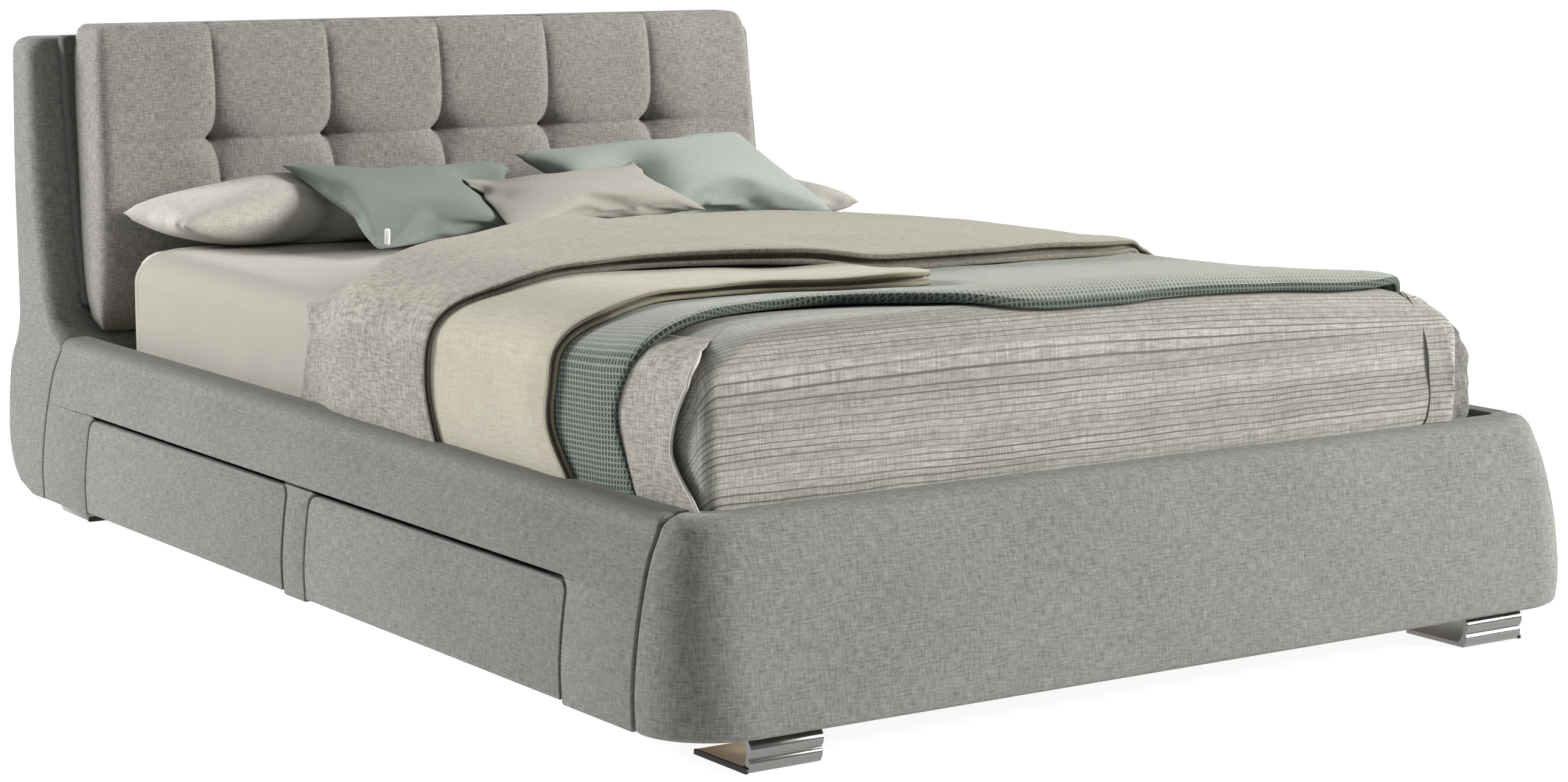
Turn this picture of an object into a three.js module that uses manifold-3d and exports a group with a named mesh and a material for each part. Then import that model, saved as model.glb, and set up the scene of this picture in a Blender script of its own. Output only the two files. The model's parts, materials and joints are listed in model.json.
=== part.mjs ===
// Platform bed with four under-bed storage drawers, dressed with a mattress, bedding and pillows.
//
// Millimetres, +Z up. The origin is the centre of the footprint on the floor. The headboard is at
// +Y, the footboard at -Y, and "left" is -X, as seen by someone who stands at the foot.

import * as THREE from 'three';
import { mergeVertices } from 'three/addons/utils/BufferGeometryUtils.js';
import Module from 'manifold-3d';

const wasm = await Module();
wasm.setup();

// ---------------------------------------------------------------- driving dimensions

const LENGTH = 2427;
const HEAD_END = LENGTH / 2;
const FOOT_END = -LENGTH / 2;
const CONTACT = 0.3; // clearance kept where two pieces touch

const BASE_BOTTOM = 52; // height of the feet
const RAIL_TOP = 348;
const RAIL_INNER = 764; // half the clear width between the side rails
const RAIL_ROUND = 24;
const SEAM_GAP = 3; // shadow gap where upholstered panels meet
const FOOT_SEAM = -1080; // rail meets footboard
const HEAD_SEAM = 955; // rail meets headboard
const FOOTBOARD_INNER = -1092;
const SHELL_TOP = 888;

const DRAWER_OPENING_TOP = 229;
const DRAWER_OPENING_WIDTH = 791;
const DRAWER_CORNER = 22;
const DRAWER_GAP = 5; // shadow gap round a drawer front
const DRAWER_CENTRES = { head: 367, foot: -499 };
const DRAWER_FRONT_BOTTOM = 58;
const DRAWER_FRONT_INNER = 792;
const DRAWER_DEPTH = 590;
const DRAWER_BOX_WIDTH = 760;
const DRAWER_BOX_BOTTOM = 68.5;
const DRAWER_BOX_TOP = 200;
const DRAWER_WALL = 12;

const RUNNER_DEPTH = 12.7; // room between a drawer side and its bearer
const RUNNER_HEIGHT = 45;
const RUNNER_LENGTH = 545;
const RUNNER_Z = 132;
const RUNNER_STEEL = 1.8;

const BEARER_TOP = 239.7;
const BEARER_BOARD = 22;
const BEAM_TOP = 280;
const SLAT_COUNT = 15;
const SLAT_WIDTH = 70;
const SLAT_THICK = 18;
const SLAT_FIRST = -1035;
const SLAT_LAST = 915;

// ---------------------------------------------------------------- colours and finishes

function finish(color, roughness, metalness = 0) {
  return new THREE.MeshStandardMaterial({ color, roughness, metalness, flatShading: true });
}

const upholstery = finish(0x9b9b94, 0.95);
const timber = finish(0xc9a878, 0.7);
const board = finish(0xb9a58a, 0.75);
const lining = finish(0x2c2c2b, 0.9);
const chrome = finish(0xdcdcdc, 0.08, 1);
const zincSteel = finish(0xa8abad, 0.35, 1);
const paintedSteel = finish(0x2b2b2b, 0.5, 0.3);
const ticking = finish(0xeae6dc, 0.9);
const sheetCotton = finish(0xd0c6b2, 0.9);
const quiltWeave = finish(0xbdb5a2, 0.95);
const beigeWeave = finish(0xb3aa96, 0.95);
const creamCotton = finish(0xd6cba8, 0.9);
const tealWaffle = finish(0x76827b, 0.95);
const sageCotton = finish(0xa6b4ac, 0.9);

// ---------------------------------------------------------------- geometry helpers

function closedGeometry(points, triangles) {
  const geometry = new THREE.BufferGeometry();
  geometry.setAttribute('position', new THREE.Float32BufferAttribute(points.flat(), 3));
  geometry.setIndex(triangles.flat());
  geometry.computeVertexNormals();
  return geometry;
}

function toManifold(geometry) {
  const bare = geometry.clone();
  bare.deleteAttribute('normal');
  bare.deleteAttribute('uv');
  const merged = mergeVertices(bare, 1e-4);
  return new wasm.Manifold(new wasm.Mesh({
    numProp: 3,
    vertProperties: new Float32Array(merged.attributes.position.array),
    triVerts: new Uint32Array(merged.index.array),
  }));
}

function fromManifold(solid) {
  const mesh = solid.getMesh();
  const geometry = new THREE.BufferGeometry();
  geometry.setAttribute('position', new THREE.BufferAttribute(mesh.vertProperties, 3));
  geometry.setIndex(new THREE.BufferAttribute(mesh.triVerts, 1));
  geometry.computeVertexNormals();
  return geometry;
}

const cut = (body, ...tools) =>
  fromManifold(tools.reduce((solid, tool) => solid.subtract(toManifold(tool)), toManifold(body)));

const join = (...bodies) => fromManifold(bodies.map(toManifold).reduce((a, b) => a.add(b)));

const keep = (body, region) => fromManifold(toManifold(body).intersect(toManifold(region)));

// A box from its lowest and highest corners.
function box([x0, y0, z0], [x1, y1, z1]) {
  const geometry = new THREE.BoxGeometry(x1 - x0, y1 - y0, z1 - z0);
  return geometry.translate((x0 + x1) / 2, (y0 + y1) / 2, (z0 + z1) / 2);
}

// A shape drawn in (x, z), swept along Y from y0 to y1.
function sweepY(shape, y0, y1) {
  const geometry = new THREE.ExtrudeGeometry(shape, { depth: y1 - y0, bevelEnabled: false, curveSegments: 6 });
  return geometry.rotateX(Math.PI / 2).translate(0, y1, 0);
}

// A shape drawn in (y, z), swept along X from x0 to x1.
function sweepX(shape, x0, x1) {
  const geometry = new THREE.ExtrudeGeometry(shape, { depth: x1 - x0, bevelEnabled: false, curveSegments: 6 });
  return geometry.rotateX(Math.PI / 2).rotateZ(Math.PI / 2).translate(x0, 0, 0);
}

// A shape drawn in (x, y), swept up from z0 to z1.
function sweepZ(shape, z0, z1) {
  const geometry = new THREE.ExtrudeGeometry(shape, { depth: z1 - z0, bevelEnabled: false, curveSegments: 6 });
  return geometry.translate(0, 0, z0);
}

function polygon(points) {
  return new THREE.Shape(points.map(([a, b]) => new THREE.Vector2(a, b)));
}

// A smooth function through [position, value] pairs, held level beyond its ends.
function profile(...knots) {
  const last = knots.length - 1;
  const slope = (i) => {
    const [before, after] = [knots[Math.max(i - 1, 0)], knots[Math.min(i + 1, last)]];
    return (after[1] - before[1]) / (after[0] - before[0]);
  };
  return (at) => {
    if (at <= knots[0][0]) return knots[0][1];
    if (at >= knots[last][0]) return knots[last][1];
    const i = knots.findIndex(([position]) => position > at) - 1;
    const [[x0, y0], [x1, y1]] = [knots[i], knots[i + 1]];
    const span = x1 - x0;
    const t = (at - x0) / span;
    const rise = t * t * (3 - 2 * t);
    const start = t * (1 - t) ** 2 * span * slope(i);
    const end = t * t * (t - 1) * span * slope(i + 1);
    return y0 + (y1 - y0) * rise + start + end;
  };
}

// A closed mesh through level outlines, each with the same number of points.
function loft(rings) {
  const count = rings[0].length;
  const contour = rings[0].map(([x, y]) => new THREE.Vector2(x, y));
  const cap = THREE.ShapeUtils.triangulateShape(contour, []);
  const triangles = [];
  for (let ring = 0; ring < rings.length - 1; ring += 1) {
    for (let i = 0; i < count; i += 1) {
      const [a, b] = [ring * count + i, ring * count + (i + 1) % count];
      triangles.push([a, b, b + count], [a, b + count, a + count]);
    }
  }
  const lid = (rings.length - 1) * count;
  cap.forEach(([a, b, c]) => triangles.push([c, b, a], [a + lid, b + lid, c + lid]));
  return closedGeometry(rings.flat(), triangles);
}

// A level rectangle at height z, anticlockwise, with its front (-Y) and rear corners rounded. The
// front corners are elliptical where frontDepth, their size along Y, differs from front.
function outline({ x0, x1, y0, y1, z, front, rear, frontDepth = front }) {
  const steps = 6;
  const corners = [
    [x1 - front, y0 + frontDepth, front, frontDepth, -Math.PI / 2],
    [x1 - rear, y1 - rear, rear, rear, 0],
    [x0 + rear, y1 - rear, rear, rear, Math.PI / 2],
    [x0 + front, y0 + frontDepth, front, frontDepth, Math.PI],
  ];
  return corners.flatMap(([cx, cy, rx, ry, start]) =>
    Array.from({ length: steps + 1 }, (_, k) => {
      const angle = start + (k / steps) * (Math.PI / 2);
      return [cx + rx * Math.cos(angle), cy + ry * Math.sin(angle), z];
    }));
}

// Heights from z0 to z1, with the inset of a rounded edge of the given radius at the top.
function levels(z0, z1, radius, straight) {
  const low = Array.from({ length: straight }, (_, k) => ({
    z: z0 + (z1 - radius - z0) * (k / straight),
    inset: 0,
  }));
  const arc = Array.from({ length: 6 }, (_, k) => {
    const angle = (k / 5) * (Math.PI / 2);
    return { z: z1 - radius + radius * Math.sin(angle), inset: radius * (1 - Math.cos(angle)) };
  });
  return [...low, ...arc];
}

// A block with rounded upright corners and a rounded top edge.
function softBlock({ x0, x1, y0, y1, z0, z1, corner, round }) {
  return loft(levels(z0, z1, round, 1).map(({ z, inset }) => outline({
    x0: x0 + inset,
    x1: x1 - inset,
    y0: y0 + inset,
    y1: y1 - inset,
    z,
    front: Math.max(corner - inset, 3),
    rear: Math.max(corner - inset, 3),
  })));
}

// A stuffed square: thick in the middle, thin at the seam, with its corners drawn out.
function pillowGeometry(width, depth, thickness) {
  const cells = 10;
  const seam = 1.5;
  const points = [];
  const triangles = [];
  const id = (side, i, j) => (side * (cells + 1) + i) * (cells + 1) + j;
  [1, -1].forEach((side) => {
    for (let i = 0; i <= cells; i += 1) {
      for (let j = 0; j <= cells; j += 1) {
        const [u, v] = [(2 * i) / cells - 1, (2 * j) / cells - 1];
        const puff = ((1 - u ** 4) * (1 - v ** 4)) ** 0.6;
        points.push([
          (u * width) / 2 * (1 - 0.05 * (1 - v * v)),
          (v * depth) / 2 * (1 - 0.05 * (1 - u * u)),
          side * (seam + (thickness / 2 - seam) * puff),
        ]);
      }
    }
  });
  for (let i = 0; i < cells; i += 1) {
    for (let j = 0; j < cells; j += 1) {
      triangles.push([id(0, i, j), id(0, i + 1, j), id(0, i + 1, j + 1)]);
      triangles.push([id(0, i, j), id(0, i + 1, j + 1), id(0, i, j + 1)]);
      triangles.push([id(1, i, j), id(1, i + 1, j + 1), id(1, i + 1, j)]);
      triangles.push([id(1, i, j), id(1, i, j + 1), id(1, i + 1, j + 1)]);
    }
  }
  const rim = (a, b) => triangles.push([a[0], b[0], b[1]], [a[0], b[1], a[1]]);
  const pair = (i, j) => [id(0, i, j), id(1, i, j)];
  for (let k = 0; k < cells; k += 1) {
    rim(pair(k + 1, 0), pair(k, 0));
    rim(pair(k, cells), pair(k + 1, cells));
    rim(pair(0, k), pair(0, k + 1));
    rim(pair(cells, k + 1), pair(cells, k));
  }
  return closedGeometry(points, triangles);
}

const mirrorX = (geometry) => {
  const copy = geometry.clone().scale(-1, 1, 1);
  const index = copy.index ? Array.from(copy.index.array) : [...Array(copy.attributes.position.count).keys()];
  for (let k = 0; k < index.length; k += 3) [index[k], index[k + 1]] = [index[k + 1], index[k]];
  copy.setIndex(index);
  copy.computeVertexNormals();
  return copy;
};

// ---------------------------------------------------------------- the assembly

const bed = new THREE.Group();

function add(name, geometry, material) {
  const mesh = new THREE.Mesh(geometry, material);
  mesh.name = name;
  bed.add(mesh);
  return mesh;
}

// The sides lean in as they rise: half the width at height z.
const halfWidth = profile([BASE_BOTTOM, 858], [110, 860], [185, 853.5], [240, 844.5], [289, 833],
  [330, 817], [380, 810], [620, 810], [780, 806], [SHELL_TOP, 802]);

// ---------------------------------------------------------------- headboard

const shellFront = profile([BASE_BOTTOM, HEAD_SEAM + SEAM_GAP], [318, HEAD_SEAM + SEAM_GAP],
  [330, HEAD_SEAM + SEAM_GAP], [372, 1015], [484, 1048], [721, 1086], [SHELL_TOP, 1104]);
const shellRear = profile([BASE_BOTTOM, 1080], [64, 1126], [117, 1170], [185, 1192], [360, 1204],
  [623, 1204], [SHELL_TOP, HEAD_END]);

const FRONT_HEIGHTS = [392, 420, 484, 600, 721, 800]; // where the shell's front is measured out
const HOLLOW_BOTTOM = 150;
const HOLLOW_TOP = 850;
const HOLLOW_SIDE = 745;
const SHELL_WALL = 30;
const FRAME_FRONT = 1143;
const BACK_PANEL_FRONT = 1180;

function headboardShell() {
  const radius = 28;
  const rearRadius = profile([BASE_BOTTOM, 80], [185, 80], [RAIL_TOP, 45], [SHELL_TOP, 34]);
  const heights = [BASE_BOTTOM, 64, 84, 117, 150, 185, 250, 318, 330, 345, 358, 372, ...FRONT_HEIGHTS]
    .map((z) => ({ z, inset: 0 }));
  const rounded = levels(BASE_BOTTOM, SHELL_TOP, radius, 1).slice(1);
  const outside = loft([...heights, ...rounded].map(({ z, inset }) => outline({
    x0: -halfWidth(z) + inset,
    x1: halfWidth(z) - inset,
    y0: shellFront(z) + inset,
    y1: shellRear(z) - inset,
    z,
    front: z < RAIL_TOP - 10 ? 5 : 28 - inset / 2,
    rear: rearRadius(z) - inset / 2,
  })));
  const hollow = loft([HOLLOW_BOTTOM, 330, 345, 358, 372, 484, 600, 721, HOLLOW_TOP].map((z) => outline({
    x0: -HOLLOW_SIDE,
    x1: HOLLOW_SIDE,
    y0: shellFront(z) + SHELL_WALL,
    y1: HEAD_END + 20,
    z,
    front: 2,
    rear: 2,
  })));
  return cut(outside, hollow);
}

// Timber ladder frame inside the headboard.
function headboardFrame() {
  const side = HOLLOW_SIDE - 5;
  const [front, rear] = [FRAME_FRONT, BACK_PANEL_FRONT - CONTACT];
  const [low, high] = [HOLLOW_BOTTOM + CONTACT, HOLLOW_TOP - CONTACT];
  const member = 60;
  const uprights = [-side, -member / 2, side - member]
    .map((x) => box([x, front, low], [x + member, rear, high]));
  const crosspieces = [low, high - member].map((z) => box([-side, front, z], [side, rear, z + member]));
  return join(...uprights, ...crosspieces);
}

// Thick pad on the headboard, leaning back, thin at its lower tip.
const PAD_BOARD = 26; // depth taken by the board behind the pad
const PAD_BOTTOM = 352;
const PAD_TOP = 914;
const padFront = profile([PAD_BOTTOM, 970], [380, 946], [464, 926], [663, 938], [865, 968], [PAD_TOP, 1012]);
const padHalf = profile([PAD_BOTTOM, 716], [380, 730], [450, 734], [657, 726], [865, 718], [PAD_TOP, 704]);
const padCorner = profile([PAD_BOTTOM, 4], [372, 10], [440, 50], [865, 50], [PAD_TOP, 18]);

function padRear(z) {
  const tuckedUnderBoard = Math.max(0, FRONT_HEIGHTS[0] - z) * 0.44;
  const roundedTop = Math.max(0, z - 890) * 0.8;
  return shellFront(z) - PAD_BOARD + tuckedUnderBoard - roundedTop;
}

function headboardCushion() {
  const heights = [PAD_BOTTOM, 360, 372, 380, ...FRONT_HEIGHTS, SHELL_TOP - 28, 890, 905, PAD_TOP];
  return loft(heights.map((z) => outline({
    x0: -padHalf(z), x1: padHalf(z), y0: padFront(z), y1: padRear(z), z, front: padCorner(z), rear: 3,
  })));
}

// Thin upholstered board between the shell and the pad.
function padBoard() {
  const half = 748;
  return loft([...FRONT_HEIGHTS, SHELL_TOP - 28, 892].map((z) => outline({
    x0: -half,
    x1: half,
    y0: shellFront(z) - PAD_BOARD + 1,
    y1: shellFront(z) - 2 * CONTACT,
    z,
    front: 8,
    rear: 4,
  })));
}

add('headboard_shell', headboardShell(), upholstery);
add('headboard_inner_frame', headboardFrame(), timber);
add('headboard_back_panel', box([-HOLLOW_SIDE + 1, BACK_PANEL_FRONT, HOLLOW_BOTTOM + 1],
  [HOLLOW_SIDE - 1, BACK_PANEL_FRONT + 5, HOLLOW_TOP - 1]), lining);
add('headboard_pad_board', padBoard(), upholstery);
add('headboard_cushion', headboardCushion(), upholstery);

// ---------------------------------------------------------------- side rails

// The rail's section, drawn for the right side: battered outside, rounded over at the top.
function railSection(inner, z0, z1, round) {
  const outside = [0, 0.12, 0.25, 0.4, 0.6, 0.8, 1]
    .map((t) => z0 + t * (z1 - round - z0))
    .map((z) => [halfWidth(z), z]);
  const edge = halfWidth(z1 - round);
  const steps = round > 0 ? [1, 2, 3, 4, 5] : [];
  const over = steps.map((k) => {
    const angle = (k / 5) * (Math.PI / 2);
    return [edge - round * (1 - Math.cos(angle)), z1 - round + round * Math.sin(angle)];
  });
  return polygon([[inner, z0], ...outside, ...over, [inner, z1]]);
}

// A drawer's outline in (y, z): square at the bottom, rounded at the top corners.
function drawerOutline(centre, width, z0, z1, radius) {
  const [y0, y1] = [centre - width / 2, centre + width / 2];
  const shape = new THREE.Shape();
  shape.moveTo(y0, z0);
  shape.lineTo(y1, z0);
  shape.lineTo(y1, z1 - radius);
  shape.absarc(y1 - radius, z1 - radius, radius, 0, Math.PI / 2);
  shape.absarc(y0 + radius, z1 - radius, radius, Math.PI / 2, Math.PI);
  return shape;
}

function rightRail() {
  const section = railSection(RAIL_INNER, BASE_BOTTOM, RAIL_TOP, RAIL_ROUND);
  const solid = sweepY(section, FOOT_SEAM, HEAD_SEAM);
  const openings = Object.values(DRAWER_CENTRES).map((centre) => sweepX(
    drawerOutline(centre, DRAWER_OPENING_WIDTH, BASE_BOTTOM - 10, DRAWER_OPENING_TOP, DRAWER_CORNER),
    RAIL_INNER - 20, 900));
  return cut(solid, ...openings);
}

add('side_rail_right', rightRail(), upholstery);
add('side_rail_left', mirrorX(rightRail()), upholstery);

// ---------------------------------------------------------------- footboard

function footboard() {
  const front = profile([BASE_BOTTOM, FOOT_END + 3], [70, FOOT_END], [117, FOOT_END + 4], [229, FOOT_END + 24],
    [RAIL_TOP, FOOT_END + 62]);
  const rounding = profile([BASE_BOTTOM, 120], [RAIL_TOP, 76]);
  const rear = FOOT_SEAM - SEAM_GAP;
  const rings = levels(BASE_BOTTOM, RAIL_TOP, RAIL_ROUND, 7).map(({ z, inset }) => outline({
    x0: -halfWidth(z) + inset,
    x1: halfWidth(z) - inset,
    y0: front(z) + inset,
    y1: rear,
    z,
    front: rounding(z),
    frontDepth: Math.min(rounding(z), rear - front(z) - inset - 5),
    rear: 2,
  }));
  const recess = box([-RAIL_INNER, FOOTBOARD_INNER, BASE_BOTTOM - 10], [RAIL_INNER, rear + 10, RAIL_TOP + 10]);
  return cut(loft(rings), recess);
}

add('footboard', footboard(), upholstery);

// ---------------------------------------------------------------- base timbers and slats

const bayHalf = DRAWER_BOX_WIDTH / 2 + RUNNER_DEPTH + CONTACT; // drawer centre to bearer face

function bearerBoard(y0, y1) {
  return box([-RAIL_INNER + CONTACT, y0, DRAWER_FRONT_BOTTOM], [RAIL_INNER - CONTACT, y1, BEARER_TOP]);
}

// One board with a spacer batten on each side, to carry the runners of both drawers.
function middleBearer() {
  const [y0, y1] = [DRAWER_CENTRES.foot + bayHalf, DRAWER_CENTRES.head - bayHalf];
  const middle = (y0 + y1) / 2;
  const reach = RAIL_INNER - CONTACT;
  const batten = box([-reach, y0, RUNNER_Z - 40], [reach, y1, RUNNER_Z + 40]);
  return join(bearerBoard(middle - BEARER_BOARD / 2, middle + BEARER_BOARD / 2), batten);
}

const headBearer = DRAWER_CENTRES.head + bayHalf;
const footBearer = DRAWER_CENTRES.foot - bayHalf;
add('cross_bearer_head', bearerBoard(headBearer, headBearer + BEARER_BOARD), timber);
add('cross_bearer_middle', middleBearer(), timber);
add('cross_bearer_foot', bearerBoard(footBearer - BEARER_BOARD, footBearer), timber);

add('centre_beam', box([-30, FOOTBOARD_INNER + 1, BEARER_TOP + CONTACT], [30, HEAD_SEAM - 1, BEAM_TOP]), timber);

function slatLedger(side) {
  const inner = side * (RAIL_INNER - 28);
  const outer = side * (RAIL_INNER - CONTACT);
  return box([Math.min(inner, outer), FOOT_SEAM + 10, 250], [Math.max(inner, outer), HEAD_SEAM - 10, BEAM_TOP]);
}

add('slat_ledger_left', slatLedger(-1), timber);
add('slat_ledger_right', slatLedger(1), timber);

const slatBottom = BEAM_TOP + CONTACT;
const slatTop = slatBottom + SLAT_THICK;

// Sprung slats held at their spacing by two webbing tapes.
function slatSet() {
  const half = RAIL_INNER - 10;
  const pitch = (SLAT_LAST - SLAT_FIRST) / (SLAT_COUNT - 1);
  const slats = Array.from({ length: SLAT_COUNT }, (_, k) => {
    const middle = SLAT_FIRST + k * pitch;
    return box([-half, middle - SLAT_WIDTH / 2, slatBottom], [half, middle + SLAT_WIDTH / 2, slatTop]);
  });
  const tapes = [-480, 480].map((x) => box([x - 18, SLAT_FIRST, slatTop - 2], [x + 18, SLAT_LAST, slatTop + 1.2]));
  return join(...slats, ...tapes);
}

add('slat_set', slatSet(), timber);

// Height-adjustable steel leg under the centre beam.
function centreLeg(y) {
  const top = BEARER_TOP;
  const outlinePoints = [[0, 0], [28, 0], [28, 8], [9, 14], [9, 40], [20, 44], [20, top - 6], [34, top - 6],
    [34, top], [0, top]];
  const points = outlinePoints.map(([radius, z]) => new THREE.Vector2(radius, z));
  return new THREE.LatheGeometry(points, 20).rotateX(Math.PI / 2).translate(0, y, 0);
}

add('centre_leg_head', centreLeg(DRAWER_CENTRES.head), paintedSteel);
add('centre_leg_foot', centreLeg(DRAWER_CENTRES.foot), paintedSteel);

// ---------------------------------------------------------------- feet

const FOOT_LENGTH = 125;
const FOOT_DEPTH = 134;

// Bent-plate foot: its section is a C with a bowed web, drawn in (depth from the web, z).
function footSection() {
  const top = BASE_BOTTOM - CONTACT;
  const plate = 8;
  const web = [[9, 0], [4, 9], [1, 20], [0, 31], [3, 42], [8, 48], [15, top]];
  const inside = [[16, top - plate], [12, 40], [9, 35], [plate, 30], [plate + 1, 21], [12, 12], [16, plate]];
  return polygon([[FOOT_DEPTH, 0], ...web, [78, top], [78, top - plate],
    ...inside, [FOOT_DEPTH, plate]].reverse());
}

// A front foot shows its web to the foot end, a rear foot to the side.
function frontFoot() {
  return sweepX(footSection(), 0, FOOT_LENGTH).translate(617, -1188, 0);
}

function rearFoot() {
  return sweepX(footSection(), 0, FOOT_LENGTH).rotateZ(Math.PI / 2).translate(778, 954, 0);
}

add('foot_front_right', frontFoot(), chrome);
add('foot_front_left', mirrorX(frontFoot()), chrome);
add('foot_rear_right', rearFoot(), chrome);
add('foot_rear_left', mirrorX(rearFoot()), chrome);

// ---------------------------------------------------------------- drawers and runners

// Everything is drawn for the right side; a left drawer is its mirror image.
function drawerFront(centre) {
  const section = railSection(DRAWER_FRONT_INNER, DRAWER_FRONT_BOTTOM, DRAWER_OPENING_TOP, 0);
  const width = DRAWER_OPENING_WIDTH - 2 * DRAWER_GAP;
  const face = drawerOutline(centre, width, DRAWER_FRONT_BOTTOM, DRAWER_OPENING_TOP - DRAWER_GAP,
    DRAWER_CORNER - DRAWER_GAP + 2);
  return keep(sweepY(section, centre - width, centre + width), sweepX(face, RAIL_INNER, 900));
}

const boxOuter = DRAWER_FRONT_INNER - CONTACT;

function drawerBox(centre) {
  const half = DRAWER_BOX_WIDTH / 2;
  const [x0, x1] = [boxOuter - DRAWER_DEPTH, boxOuter];
  const frame = polygon([[x0, centre - half], [x1, centre - half], [x1, centre + half], [x0, centre + half]]);
  const [w, h] = [DRAWER_WALL, half - DRAWER_WALL];
  frame.holes.push(polygon([[x0 + w, centre - h], [x0 + w, centre + h], [x1 - w, centre + h], [x1 - w, centre - h]]));
  return sweepZ(frame, DRAWER_BOX_BOTTOM, DRAWER_BOX_TOP);
}

function drawerBottom(centre) {
  const half = DRAWER_BOX_WIDTH / 2 - 2;
  const top = DRAWER_BOX_BOTTOM - CONTACT;
  return box([boxOuter - DRAWER_DEPTH + 2, centre - half, top - 6], [boxOuter - 2, centre + half, top]);
}

// The channel screwed to the bearer, open towards the drawer. side is +1 or -1 along Y.
function fixedRunner(centre, side) {
  const wall = DRAWER_BOX_WIDTH / 2;
  const at = (offset) => centre + side * (wall + offset);
  const half = RUNNER_HEIGHT / 2;
  const s = RUNNER_STEEL;
  const section = polygon([
    [at(2), RUNNER_Z + half], [at(RUNNER_DEPTH), RUNNER_Z + half],
    [at(RUNNER_DEPTH), RUNNER_Z - half], [at(2), RUNNER_Z - half],
    [at(2), RUNNER_Z - half + s], [at(RUNNER_DEPTH - s), RUNNER_Z - half + s],
    [at(RUNNER_DEPTH - s), RUNNER_Z + half - s], [at(2), RUNNER_Z + half - s],
  ]);
  return sweepX(section, RAIL_INNER - 6 - RUNNER_LENGTH, RAIL_INNER - 6);
}

// The slide screwed to the drawer side, running inside the channel.
function drawerSlide(centre, side) {
  const wall = DRAWER_BOX_WIDTH / 2;
  const [near, far] = [centre + side * (wall + CONTACT), centre + side * (wall + RUNNER_DEPTH - RUNNER_STEEL - 1)];
  const half = RUNNER_HEIGHT / 2 - RUNNER_STEEL - 1.2;
  const length = RUNNER_LENGTH;
  return box([boxOuter - 8 - length, Math.min(near, far), RUNNER_Z - half],
    [boxOuter - 8, Math.max(near, far), RUNNER_Z + half]);
}

const sides = { right: (geometry) => geometry, left: mirrorX };

for (const [side, place] of Object.entries(sides)) {
  for (const [end, centre] of Object.entries(DRAWER_CENTRES)) {
    const name = `drawer_${side}_${end}`;
    add(`${name}_front`, place(drawerFront(centre)), upholstery);
    add(`${name}_box`, place(drawerBox(centre)), board);
    add(`${name}_bottom`, place(drawerBottom(centre)), board);
    for (const [facing, direction] of [['headward', 1], ['footward', -1]]) {
      add(`runner_${side}_${end}_${facing}`, place(fixedRunner(centre, direction)), zincSteel);
      add(`${name}_slide_${facing}`, place(drawerSlide(centre, direction)), zincSteel);
    }
  }
}

// ---------------------------------------------------------------- mattress and bedding

// The mattress lies a little to the left. Each layer wraps the one under it.
const MATTRESS = { x0: -733, x1: 645, y0: -1066, y1: 846, z0: slatTop + 1.5, z1: 515, corner: 60, round: 46 };
const BEDDING_BOTTOM = 318;

function grown(left, right, foot, head, top) {
  return {
    ...MATTRESS,
    x0: MATTRESS.x0 - left,
    x1: MATTRESS.x1 + right,
    y0: MATTRESS.y0 - foot,
    y1: MATTRESS.y1 + head,
    z0: BEDDING_BOTTOM,
    z1: MATTRESS.z1 + top,
  };
}

// The cloth between an outer and an inner block, kept inside a region seen from above.
function wrap(outer, inner, region) {
  const cap = cut(softBlock(outer), softBlock({ ...inner, z0: BEDDING_BOTTOM - 20 }));
  return region ? keep(cap, sweepZ(polygon(region), 0, HEAD_END)) : cap;
}

const beyond = 900;

add('mattress', softBlock(MATTRESS), ticking);
add('fitted_sheet', wrap(grown(4, 4, 4, 4, 4), grown(0.5, 0.5, 0.5, 0.5, 0.5)), sheetCotton);
add('quilt', wrap(grown(13, 15, 23, 4.5, 45), grown(4.5, 4.5, 4.5, 4.5, 4.5),
  [[-beyond, -1200], [beyond, -1200], [beyond, 420], [-beyond, -60]]), quiltWeave);
add('throw_teal', wrap(grown(18, 20, 23, 40, 57), grown(13.5, 15.5, 23, 40, 45.5),
  [[-beyond, -925], [-250, -790], [beyond, -1020], [beyond, -520], [-beyond, -520]]), tealWaffle);
add('throw_cream', wrap(grown(24, 26, 23, 40, 73), grown(18.5, 20.5, 23, 40, 57.5),
  [[-beyond, -720], [-450, -600], [40, -600], [40, -350], [-beyond, -350]]), creamCotton);
add('coverlet', wrap(grown(30, 32, 23, 40, 90), grown(24.5, 26.5, 23, 40, 73.5),
  [[-beyond, -340], [150, -345], [beyond, -760], [beyond, 450], [-beyond, 20]]), beigeWeave);

function restingPillow(name, material, [width, depth, thickness], [x, y, z], tilt, turn) {
  const mesh = add(name, pillowGeometry(width, depth, thickness), material);
  mesh.position.set(x, y, z);
  mesh.rotation.set(THREE.MathUtils.degToRad(tilt), 0, THREE.MathUtils.degToRad(turn), 'ZYX');
}

restingPillow('pillow_left', creamCotton, [690, 400, 84], [-385, 711, 577], 7, -4);
restingPillow('pillow_right', creamCotton, [690, 400, 84], [335, 706, 577], 7, -4);
restingPillow('cushion_sage_left', sageCotton, [460, 420, 70], [-235, 600, 662], 14, -3);
restingPillow('cushion_sage_right', sageCotton, [480, 420, 70], [285, 625, 662], 14, -8);
restingPillow('cushion_cream', creamCotton, [430, 380, 66], [40, 470, 722], 18, -6);

export default bed;
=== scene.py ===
"""Looks of the platform bed with storage drawers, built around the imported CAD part. Metres, +Z up."""

import json
import math

import bmesh
import bpy
import numpy as np
from mathutils import Matrix, Vector
from mathutils.bvhtree import BVHTree


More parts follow.
